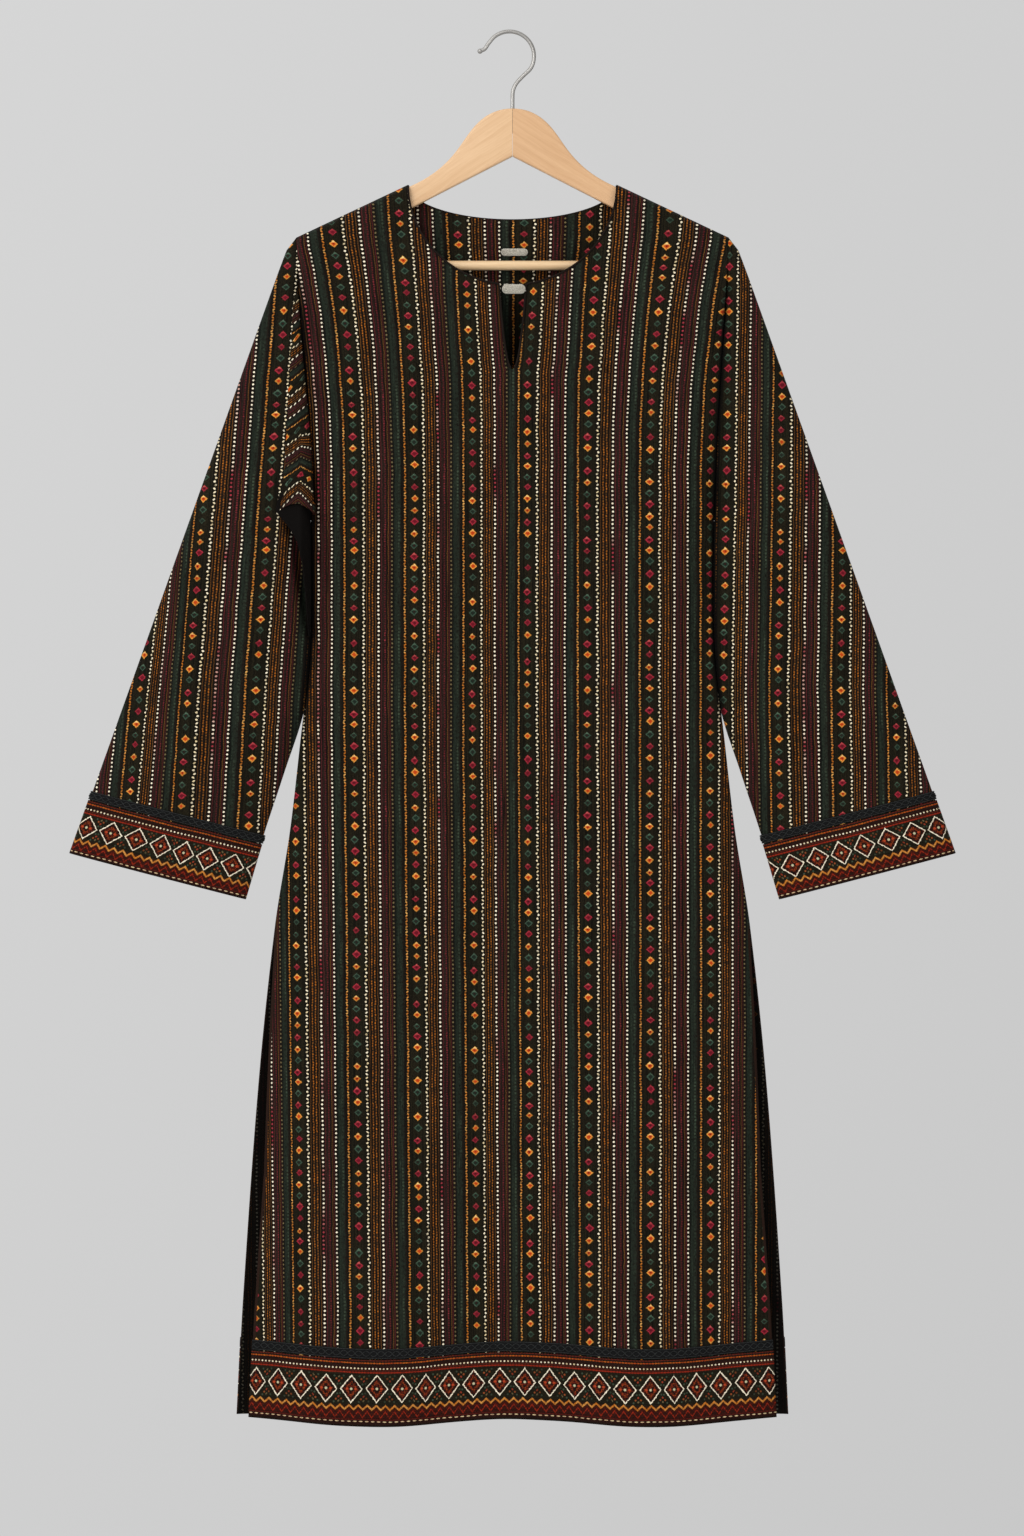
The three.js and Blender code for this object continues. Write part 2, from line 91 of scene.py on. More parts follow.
def curve(pairs):
    """A smooth curve y(x) through pairs listed by falling or rising x; level beyond both ends."""
    points = np.array(sorted(pairs), float)
    xs, ys = points[:, 0], points[:, 1]
    before = np.maximum(np.arange(len(xs)) - 1, 0)
    after = np.minimum(np.arange(len(xs)) + 1, len(xs) - 1)
    slope = (ys[after] - ys[before]) / (xs[after] - xs[before])

    def at(x):
        x = np.clip(np.asarray(x, float), xs[0], xs[-1])
        i = np.clip(np.searchsorted(xs, x, side="right") - 1, 0, len(xs) - 2)
        span = xs[i + 1] - xs[i]
        t = (x - xs[i]) / span
        rise = ys[i + 1] - ys[i]
        bend = (slope[i] * span - rise) * (1 - t) + (rise - slope[i + 1] * span) * t
        return ys[i] + rise * t + bend * t * (1 - t)

    return at


side_line = curve(SIDE_LINE)
depth_line = curve(DEPTH_LINE)
inner_line = curve(INNER_LINE)
sleeve_depth = curve(SLEEVE_DEPTH)
SHOULDER_SLOPE = (NECK_Z - SHOULDER_Z) / (side_line(SHOULDER_Z) - NECK_HALF)


def mix(a, b, t):
    return a + (b - a) * t


def smooth(x, low, high):
    t = np.clip((x - low) / (high - low), 0, 1)
    return t * t * (3 - 2 * t)


def bump_at(x, centre, reach):
    """A soft hump of height 1."""
    return np.exp(-(((x - centre) / reach) ** 2))


# ---------------------------------------------------------------- the body's form
def vent_share(z):
    return np.maximum(0, (VENT_Z - z) / (VENT_Z - HEM_Z))


def half_width(z, is_front):
    pull = FRONT_VENT_PULL * np.minimum(1, vent_share(z) * 2) ** 0.8 if is_front else 0
    return side_line(z) - pull


def loop_shape(u):
    return np.maximum(0, 4 * u * (1 - u)) ** 0.4


def edge_depth(z):
    vent = HALF_SEAM + VENT_DEPTH * vent_share(z) ** 0.7
    arm = HALF_SEAM + ARMHOLE_DEPTH * loop_shape(np.clip((z - SHOULDER_Z) / (ARMPIT_Z - SHOULDER_Z), 0, 1))
    return np.where(z < VENT_Z, vent, np.where(z < ARMPIT_Z, HALF_SEAM, arm))


def full_depth(fall, z):
    near = np.minimum(fall, SHOULDER_ROUND)
    over_hanger = np.sqrt(SHOULDER_ROUND ** 2 - (SHOULDER_ROUND - near) ** 2)
    return over_hanger + (depth_line(z) - SHOULDER_ROUND) * smooth(fall, SHOULDER_ROUND, SHOULDER_SETTLE)


def folds(x, z, is_front):
    """Soft upright folds, deepest at the hem, and the finer ones that hang from the chest."""
    swell = smooth(-z, 420, -HEM_Z)
    broad = -np.cos(2 * pi * x / HEM_WAVELENGTH)
    narrow = np.sin(2 * pi * x / 118 + (0.6 if is_front else 2.4))
    fine = np.sin(2 * pi * x / 71 + z / 190 + (0 if is_front else 1.7)) * smooth(-z, 330, 760)
    return swell * (4.5 * broad + 1.6 * narrow) + 0.9 * fine


# Creases placed on each panel: across the centre, down, half width, half height, depth, lean
FRONT_CREASES = [(-128, -300, 16, 90, -2.2, 0.22), (122, -290, 18, 90, -2.0, -0.22),
                 (-176, -560, 12, 120, -2.6, 0.10), (182, -570, 12, 120, -2.2, -0.08),
                 (-60, -760, 26, 210, 1.8, 0.02), (48, -980, 24, 240, 1.6, -0.02),
                 (150, -880, 22, 260, -2.0, 0.03), (-170, -1080, 20, 230, -1.8, -0.03)]
BACK_CREASES = [(-120, -310, 18, 95, -2.2, 0.2), (126, -305, 18, 95, -2.2, -0.2),
                (-178, -575, 13, 120, -2.4, 0.08), (176, -580, 12, 125, -2.4, -0.08),
                (0, -420, 30, 160, -1.6, 0), (70, -830, 26, 220, 1.8, 0.02),
                (-80, -1000, 26, 240, -1.8, -0.02)]


def seam_crease(from_seam, z, depth):
    """The crease that the sleeve's weight pulls in beside the armhole seam."""
    reach = smooth(-z, 228, 262) * (1 - smooth(-z, 470, 500))
    return -depth * reach * bump_at(from_seam, 0, 6.5)


def creases(x, z, is_front):
    from_seam = half_width(z, is_front) - np.abs(x)
    depth = np.where(x < 0, 8.5, 6.0) if is_front else 5.0
    total = seam_crease(from_seam, z, depth)
    for across, down, wide, tall, depth, lean in FRONT_CREASES if is_front else BACK_CREASES:
        line = across + lean * (z - down)
        total = total + depth * bump_at(x, line, wide) * bump_at(z, down, tall)
    return total


def body_point(f, z, centre, side, is_front):
    """Places, as an array (..., 3), of a panel; f runs from the centre line to the side."""
    x = mix(centre, half_width(z, is_front), f)
    fall = NECK_Z - (x - NECK_HALF) * SHOULDER_SLOPE - z
    at_edge = edge_depth(z)
    flatness = mix(16, 4, smooth(fall, 0, SHOULDER_SETTLE))
    crown = np.maximum(0, 1 - f ** flatness) ** 0.8
    detail = creases(side * x, z, is_front) * smooth(fall, 20, 120)
    full = full_depth(np.maximum(0, fall), z) + folds(side * x, z, is_front)
    y = np.maximum(HALF_SEAM, at_edge + (full - at_edge) * crown + detail)
    return np.stack([side * x, -y if is_front else y, z + 0 * x], -1)


def hem_height(x):
    return HEM_Z - HEM_WAVE * np.sin(pi * x / HEM_WAVELENGTH) ** 2


def top_height(x, is_front):
    drop = FRONT_NECK_DROP if is_front else BACK_NECK_DROP
    neck = NECK_Z - drop * np.sqrt(np.maximum(0, 1 - (x / NECK_HALF) ** 2))
    return np.where(x >= NECK_HALF, NECK_Z - (x - NECK_HALF) * SHOULDER_SLOPE, neck)


def slit_half(z):
    share = np.clip((z - SLIT_Z) / (NECK_Z - FRONT_NECK_DROP - SLIT_Z), 0, 1)
    return SLIT_HALF * share ** 0.45


# ---------------------------------------------------------------- meshes
def new_object(name, points, faces, uv=None, smooth_faces=True):
    mesh = bpy.data.meshes.new(name)
    mesh.from_pydata((np.asarray(points) * MM).tolist(), [], faces)
    if uv is not None:
        face_outwards(mesh)
        layer = mesh.uv_layers.new(name="cloth")
        corner = np.zeros(len(mesh.loops), np.int32)
        mesh.loops.foreach_get("vertex_index", corner)
        layer.data.foreach_set("uv", (np.asarray(uv)[corner] * MM).astype(np.float32).ravel())
    mesh.polygons.foreach_set("use_smooth", [smooth_faces] * len(mesh.polygons))
    mesh.update()
    obj = bpy.data.objects.new(name, mesh)
    bpy.context.scene.collection.objects.link(obj)
    return obj


def face_outwards(mesh):
    """Turns a sheet's faces away from the middle plane of the garment, y = 0."""
    sizes = len(mesh.polygons) * 3
    normals, centres = np.zeros(sizes, np.float32), np.zeros(sizes, np.float32)
    mesh.polygons.foreach_get("normal", normals)
    mesh.polygons.foreach_get("center", centres)
    if (normals[1::3] * np.sign(centres[1::3])).sum() < 0:
        mesh.flip_normals()


def grid_faces(rows, columns, start=0, flip=False, closed=False):
    faces = []
    for r in range(rows - 1):
        for c in range(columns if closed else columns - 1):
            d = (c + 1) % columns
            quad = [start + r * columns + c, start + r * columns + d,
                    start + (r + 1) * columns + d, start + (r + 1) * columns + c]
            faces.append(quad[::-1] if flip else quad)
    return faces


def normals_of(points):
    """Unit normals of a grid of points (rows, columns, 3), along its rows' turn to its columns."""
    down = np.gradient(points, axis=0)
    along = np.gradient(points, axis=1)
    n = np.cross(along, down)
    return n / np.maximum(np.linalg.norm(n, axis=-1, keepdims=True), 1e-9)


def facing_out(normals, outward):
    """The normals, turned over if they look against the outward way."""
    return normals if (normals * outward).sum() > 0 else -normals


def shell(obj, thickness):
    """Gives a sheet its thickness inwards and takes the modifier's result."""
    modifier = obj.modifiers.new("thickness", "SOLIDIFY")
    modifier.thickness = thickness * MM
    modifier.offset = -1
    modifier.use_even_offset = False
    modifier.material_offset = 1
    modifier.material_offset_rim = 0
    apply_modifiers(obj)
    return obj


def apply_modifiers(obj):
    graph = bpy.context.evaluated_depsgraph_get()
    mesh = bpy.data.meshes.new_from_object(obj.evaluated_get(graph))
    obj.modifiers.clear()
    old, obj.data = obj.data, mesh
    bpy.data.meshes.remove(old)


def tube(points, radius, sides):
    """Points and faces of a round rod along a list of points; radius may be one for each point."""
    path = np.asarray(points, float)
    radii = np.broadcast_to(radius, len(path))
    tangent = np.gradient(path, axis=0)
    tangent /= np.maximum(np.linalg.norm(tangent, axis=1, keepdims=True), 1e-9)
    side = np.cross(tangent, [0, 1, 0])
    weak = np.linalg.norm(side, axis=1) < 1e-6
    side[weak] = [1, 0, 0]
    side /= np.linalg.norm(side, axis=1, keepdims=True)
    up = np.cross(side, tangent)
    turn = np.arange(sides) * 2 * pi / sides
    rings = path[:, None] + radii[:, None, None] * (
        np.cos(turn)[None, :, None] * side[:, None] + np.sin(turn)[None, :, None] * up[:, None])
    faces = grid_faces(len(path), sides, closed=True)
    faces.append(list(range(sides)))
    faces.append([(len(path) - 1) * sides + i for i in reversed(range(sides))])
    return rings.reshape(-1, 3), faces


def joined(parts):
    """Many (points, faces) as one."""
    points, faces, start = [], [], 0
    for some_points, some_faces in parts:
        points.append(some_points)
        faces += [[i + start for i in face] for face in some_faces]
        start += len(some_points)
    return np.concatenate(points), faces


# ---------------------------------------------------------------- shader helpers
class Field:
    """A number in a material's node tree that adds and multiplies as numbers do."""

    def __init__(self, tree, value):
        self.tree, self.value = tree, value

    def op(self, name, *others):
        node = self.tree.nodes.new("ShaderNodeMath")
        node.operation = name
        for socket, item in zip(node.inputs, (self, *others)):
            put(self.tree, socket, item)
        return Field(self.tree, node.outputs[0])

    def __add__(self, other):
        return self.op("ADD", other)

    def __radd__(self, other):
        return self.op("ADD", other)

    def __sub__(self, other):
        return self.op("SUBTRACT", other)

    def __rsub__(self, other):
        return Field(self.tree, other).op("SUBTRACT", self)

    def __mul__(self, other):
        return self.op("MULTIPLY", other)

    def __rmul__(self, other):
        return self.op("MULTIPLY", other)

    def __truediv__(self, other):
        return self.op("DIVIDE", other)

    def abs(self):
        return self.op("ABSOLUTE")

    def sin(self):
        return self.op("SINE")

    def floor(self):
        return self.op("FLOOR")

    def wrap(self, period):
        return self.op("WRAP", period / 2, -period / 2)

    def least(self, other):
        return self.op("MINIMUM", other)

    def most(self, other):
        return self.op("MAXIMUM", other)

    def under(self, limit, soft):
        """1 where the number is under the limit, 0 above it, over a soft step."""
        node = self.tree.nodes.new("ShaderNodeMapRange")
        node.interpolation_type = "SMOOTHSTEP"
        put(self.tree, node.inputs["Value"], self)
        put(self.tree, node.inputs["From Min"], limit - soft / 2)
        put(self.tree, node.inputs["From Max"], limit + soft / 2)
        node.inputs["To Min"].default_value = 1
        node.inputs["To Max"].default_value = 0
        return Field(self.tree, node.outputs[0])


def put(tree, socket, item):
    """Links a field or a socket, or sets a number or a colour."""
    if isinstance(item, Field):
        item = item.value
    if isinstance(item, bpy.types.NodeSocket):
        tree.links.new(item, socket)
    elif isinstance(item, (tuple, list)) and len(item) == 3 and socket.type == "RGBA":
        socket.default_value = (*item, 1)
    else:
        socket.default_value = item


def srgb(red, green, blue):
    """A colour given as 0 to 255, as linear numbers."""
    return tuple(c / 12.92 if c <= 0.04045 else ((c + 0.055) / 1.055) ** 2.4
                 for c in (red / 255, green / 255, blue / 255))


class Paint:
    """A material's colour and height, laid on in layers."""

    def __init__(self, name):
        self.material = bpy.data.materials.new(name)
        self.material.use_nodes = True
        self.tree = self.material.node_tree
        self.shader = self.tree.nodes["Principled BSDF"]
        self.colour = None
        self.height = Field(self.tree, 0.0)

    def uv(self):
        node = self.tree.nodes.new("ShaderNodeUVMap")
        node.uv_map = "cloth"
        parts = self.tree.nodes.new("ShaderNodeSeparateXYZ")
        self.tree.links.new(node.outputs[0], parts.inputs[0])
        return [Field(self.tree, parts.outputs[i]) * 1000.0 for i in (0, 1)]

    def attribute(self, name):
        node = self.tree.nodes.new("ShaderNodeAttribute")
        node.attribute_name = name
        return Field(self.tree, node.outputs["Fac"])

    def place(self):
        """The object's own X, Y and Z, in millimetres."""
        node = self.tree.nodes.new("ShaderNodeTexCoord")
        parts = self.tree.nodes.new("ShaderNodeSeparateXYZ")
        self.tree.links.new(node.outputs["Object"], parts.inputs[0])
        return [Field(self.tree, parts.outputs[i]) * 1000.0 for i in range(3)]

    def vector(self, x, y, z=0.0):
        node = self.tree.nodes.new("ShaderNodeCombineXYZ")
        for socket, item in zip(node.inputs, (x, y, z)):
            put(self.tree, socket, item)
        return node.outputs[0]

    def noise(self, x, y, z=0.0, detail=2.0, roughness=0.5):
        node = self.tree.nodes.new("ShaderNodeTexNoise")
        node.inputs["Scale"].default_value = 1
        node.inputs["Detail"].default_value = detail
        node.inputs["Roughness"].default_value = roughness
        self.tree.links.new(self.vector(x, y, z), node.inputs["Vector"])
        return Field(self.tree, node.outputs["Fac"])

    def random(self, x, y=0.0):
        node = self.tree.nodes.new("ShaderNodeTexWhiteNoise")
        node.noise_dimensions = "2D"
        self.tree.links.new(self.vector(x, y), node.inputs["Vector"])
        return Field(self.tree, node.outputs["Value"])

    def blend(self, low, high, amount):
        node = self.tree.nodes.new("ShaderNodeMix")
        node.data_type = "RGBA"
        put(self.tree, node.inputs["Factor"], amount)
        put(self.tree, node.inputs["A"], low)
        put(self.tree, node.inputs["B"], high)
        return node.outputs["Result"]

    def ramp(self, amount, stops, steps=False):
        node = self.tree.nodes.new("ShaderNodeValToRGB")
        node.color_ramp.interpolation = "CONSTANT" if steps else "LINEAR"
        elements = node.color_ramp.elements
        while len(elements) < len(stops):
            elements.new(0.5)
        for element, (position, colour) in zip(elements, stops):
            element.position = position
            element.color = (*colour, 1)
        put(self.tree, node.inputs["Fac"], amount)
        return node.outputs["Color"]

    def lay(self, colour, mask, height=0.0):
        """Lays a colour where the mask is 1, standing this many millimetres proud."""
        self.colour = self.blend(self.colour, colour, mask)
        if height:
            self.height = self.height.most(mask * height)

    def bright(self, amount):
        """Darkens or brightens the colour so far."""
        node = self.tree.nodes.new("ShaderNodeMix")
        node.data_type = "RGBA"
        node.blend_type = "MULTIPLY"
        node.inputs["Factor"].default_value = 1
        put(self.tree, node.inputs["A"], self.colour)
        put(self.tree, node.inputs["B"], amount)
        self.colour = node.outputs["Result"]

    def finish(self, roughness, relief=1.0, sheen=0.0, gloss=0.5, **sockets):
        put(self.tree, self.shader.inputs["Base Color"], self.colour)
        put(self.tree, self.shader.inputs["Roughness"], roughness)
        self.shader.inputs["Specular IOR Level"].default_value = gloss
        self.shader.inputs["Sheen Weight"].default_value = sheen
        self.shader.inputs["Sheen Roughness"].default_value = 0.5
        for name, value in sockets.items():
            self.shader.inputs[name.replace("_", " ")].default_value = value
        if relief == 0:
            return self.material
        node = self.tree.nodes.new("ShaderNodeBump")
        node.inputs["Strength"].default_value = relief
        node.inputs["Distance"].default_value = MM
        put(self.tree, node.inputs["Height"], self.height)
        self.tree.links.new(node.outputs[0], self.shader.inputs["Normal"])
        return self.material


# Thread colours
CREAM = srgb(222, 200, 152)
WHITE = srgb(252, 240, 212)
ORANGE = srgb(186, 106, 30)
GOLD = srgb(114, 73, 30)
PALE_ORANGE = srgb(226, 170, 92)
CRIMSON = srgb(90, 27, 32)
PINK = srgb(158, 54, 64)
GREEN = srgb(31, 38, 30)
PALE_GREEN = srgb(62, 74, 58)
OLIVE = srgb(31, 27, 16)
DARK = srgb(28, 20, 15)
BROWN = srgb(38, 25, 18)
PURPLE = srgb(45, 30, 25)
FADED = srgb(112, 98, 66)

THREAD_PAIR = 1.4              # width of two threads of the weave
REPEAT = 58.0                  # width of one stripe repeat, from one column of diamonds to the next


def weave(paint, u, v):
    """A plain weave, as height and as a change of shade."""
    threads = (u * (2 * pi / THREAD_PAIR)).sin() * (v * (2 * pi / THREAD_PAIR)).sin()
    speckle = paint.noise(u * 0.9, v * 0.55, detail=3.0, roughness=0.75)
    paint.height = paint.height + threads * 0.10 + speckle * 0.2
    return ((speckle - 0.5) * 3.4 + threads * 0.12 + 0.9).most(0.12)


def dashes(v, pitch, share, shift=0.0):
    """How near a place is to the middle of a dash: 0 there and 1 at its ends."""
    return ((v + shift) / pitch).wrap(1.0).abs() / (share / 2)


def line_mask(du, v, half, pitch, share, shift=0.0):
    """Round stitches in a row along v."""
    along = dashes(v, pitch, share, shift)
    across = du / half
    return (across * across + along * along).under(1.0, 0.5)


def clamp(field):
    return field.most(0.0).least(1.0)


def stripes(name, inside=False):
    """The striped cloth: u crosses the stripes and v runs along them, in millimetres."""
    paint = Paint(name)
    u, v = paint.uv()
    wander = (paint.noise(u * 0.02, v * 0.024, detail=1.0) - 0.5) * 1.6
    shiver = (paint.noise(u * 0.09, v * 0.22, detail=2.0) - 0.5) * 1.5
    across = u + wander + shiver
    column = (across / REPEAT + 0.5).floor()
    at = across.wrap(REPEAT)   # from -29 to 29, with the diamonds at 0
    place = at / REPEAT + 0.5
    variant = paint.random(column, 3.0)

    ground = [(-29, PURPLE), (-24.5, BROWN), (-21.5, DARK), (-18.8, GREEN), (-13.2, DARK), (-9.0, OLIVE),
              (8.6, OLIVE), (11.5, DARK), (19.0, DARK), (22.0, BROWN), (25.0, PURPLE)]
    stops = [(position / REPEAT + 0.5, colour) for position, colour in ground]
    paint.colour = paint.ramp(place, stops)
    streak = paint.noise(across * 0.8, v * 0.012, detail=3.0, roughness=0.65)
    patch = paint.noise(across * 0.06, v * 0.006, detail=2.0)
    shade = weave(paint, u, v) * clamp((streak - 0.5) * 3.6 + 0.85) * (patch * 0.9 + 0.55)
    paint.bright(paint.vector(shade, shade, shade))

    tint = paint.noise(column * 7.3, v * 0.016, detail=2.0)
    worn = paint.noise(across * 0.5, v * 0.35, detail=2.0, roughness=0.7)
    wear = clamp((worn - 0.36) * 5.0)

    def offset(centre):
        return at - centre

    def stitched(centre, half, pitch, share, colour, height, shift=0.0, strength=1.0, sway=0.0):
        """A row of stitches, each with its own shade and some of them dull."""
        own = paint.random(((v + shift) / pitch + 0.5).floor(), column + centre)
        mask = line_mask(offset(centre) + sway, v, half, pitch, share, shift)
        lit = clamp(own * 0.75 + 0.45) * (wear * 0.45 + 0.55) * strength
        paint.lay(colour, mask * clamp(lit), height)

    # Faint threads in the brown and purple ground
    for centre, colour in ((20.6, GOLD), (26.2, CRIMSON), (-25.2, GOLD), (12.3, GOLD), (-23.6, CRIMSON)):
        thin = offset(centre).abs().under(0.35, 0.5)
        dotted = line_mask(offset(centre), v, 0.9, 2.2, 0.9)
        paint.lay(colour, thin * dotted * clamp(streak * 3.0 - 0.9))
    # Black gaps either side of the chains
    for centre in (-11.2, -7.4, 7.5, 11.2, 13.2, 19.6, 22.1, 25.0, -26.6, -20.0):
        paint.lay(srgb(12, 9, 7), offset(centre).abs().under(0.5, 0.7) * 0.75)
    # Green satin band, with paler stitches that come and go
    satin = offset(-15.9).abs().under(2.7, 1.2)
    rib = clamp((across * (2 * pi / 2.1)).sin() * 0.5 + 0.5)
    glint = clamp((paint.noise(across * 0.9, v * 0.05, detail=3.0, roughness=0.7) - 0.5) * 4.0)
    paint.lay(paint.blend(GREEN, PALE_GREEN, rib * glint), satin * wear * 0.8, 0.25)
    stitched(-15.0, 0.9, 3.4, 0.7, PALE_GREEN, 0.35, 0.0, clamp((tint - 0.44) * 5.0))
    # Orange chain left of the diamonds
    sway = (v * (2 * pi / 5.4)).sin() * 0.4
    own = paint.random((v / 2.7).floor(), column)
    stitched(-9.2, 0.9, 2.7, 0.8, paint.blend(ORANGE, PALE_ORANGE, own * own), 0.7, strength=1.15, sway=sway)
    # Cream chain right of the diamonds
    wave = (v * (2 * pi / 6.4)).sin() * 0.6
    stitched(9.4, 1.0, 3.6, 0.6, paint.blend(CREAM, WHITE, own), 0.8, strength=1.5, sway=wave)
    # Double chain in gold
    for centre, shift in ((14.9, 0.0), (17.9, 1.35)):
        stitched(centre, 0.62, 2.7, 0.84, paint.blend(GOLD, ORANGE, own), 0.6, shift)
    # White dots that turn pink in places
    pinkish = clamp((tint - 0.54) * 9.0)
    stitched(23.6, 1.05, 4.1, 0.48, paint.blend(WHITE, PINK, pinkish), 0.8, strength=1.5)
    # Crimson line, with pink stitches in places
    crimson = paint.blend(CRIMSON, PINK, clamp((tint - 0.52) * 5.0) * own)
    stitched(-28.2, 0.75, 2.4, 0.8, crimson, 0.45)
    # Faint pale dots, bolder in some columns
    bold = paint.blend(FADED, WHITE, variant.under(0.5, 0.1))
    stitched(-21.6, 0.9, 4.1, 0.48, bold, 0.6, strength=1.3)

    # Column of diamonds: an outline and a fill, paler in its upper half
    pace = 11.4
    slip = (paint.noise(column * 3.1, v * 0.02, detail=0.0) - 0.5) * 9.0
    run = (v + slip + variant * pace) / pace
    cell = run.floor()
    own = paint.random(cell, column + 17.0)
    jitter = paint.random(cell, column + 31.0)
    dv = (run - cell - 0.5) * pace + (jitter - 0.5) * 1.8
    ragged_u = (paint.noise(u * 0.8, v * 0.8, 3.0, detail=1.0) - 0.5) * 1.7
    ragged_v = (paint.noise(u * 0.8, v * 0.8, 9.0, detail=1.0) - 0.5) * 1.7
    reach = (offset(0.0) + (jitter - 0.5) * 0.8 + ragged_u).abs() / 3.9 + (dv + ragged_v).abs() / 3.8
    turn = (cell + (variant * 3.0).floor() + (own.under(0.14, 0.02))) / 3.0
    choice = turn - turn.floor()

    def one_of(orange, red, green):
        return paint.ramp(choice, [(0.0, orange), (0.3, red), (0.6, green)], True)

    fill = one_of(srgb(186, 66, 20), srgb(104, 18, 32), srgb(24, 38, 30))
    rim = one_of(srgb(232, 158, 66), srgb(164, 44, 58), srgb(62, 82, 66))
    glow = one_of(srgb(244, 214, 140), srgb(196, 92, 84), srgb(84, 106, 86))
    small = own * 0.22 + 0.84
    edge = reach.under(small, 0.3)
    paint.lay(rim, edge * clamp(own * 0.7 + 0.5), 0.7)
    paint.lay(fill, reach.under(small - 0.32, 0.3), 0.55)
    upper = clamp(dv * 0.8 - 0.9) * reach.under(small - 0.1, 0.3)
    paint.lay(glow, upper * clamp(jitter * 1.2), 0.7)
    paint.lay(srgb(48, 14, 12), reach.under(0.26, 0.2) * jitter)

    # Painted shade: near black along the crease between the sleeve and the body, where the attribute is 1
    paint.lay(srgb(8, 6, 5), paint.attribute("painted_crease_shade"))
    if inside:
        # Painted shade: the inside of the cloth is darkened to near black beside the side edges below the
        # vents' tops
        vent_inside_shade = paint.attribute("edge").under(34.0, 5.0) * paint.attribute("vent")
        paint.lay(srgb(10, 8, 6), vent_inside_shade * 0.94)
    else:
        turned = paint.attribute("edge").under(2.6, 1.2) * paint.attribute("vent")
        paint.lay(srgb(40, 24, 17), turned)
    return paint.finish(0.85, relief=0.75, gloss=0.08)


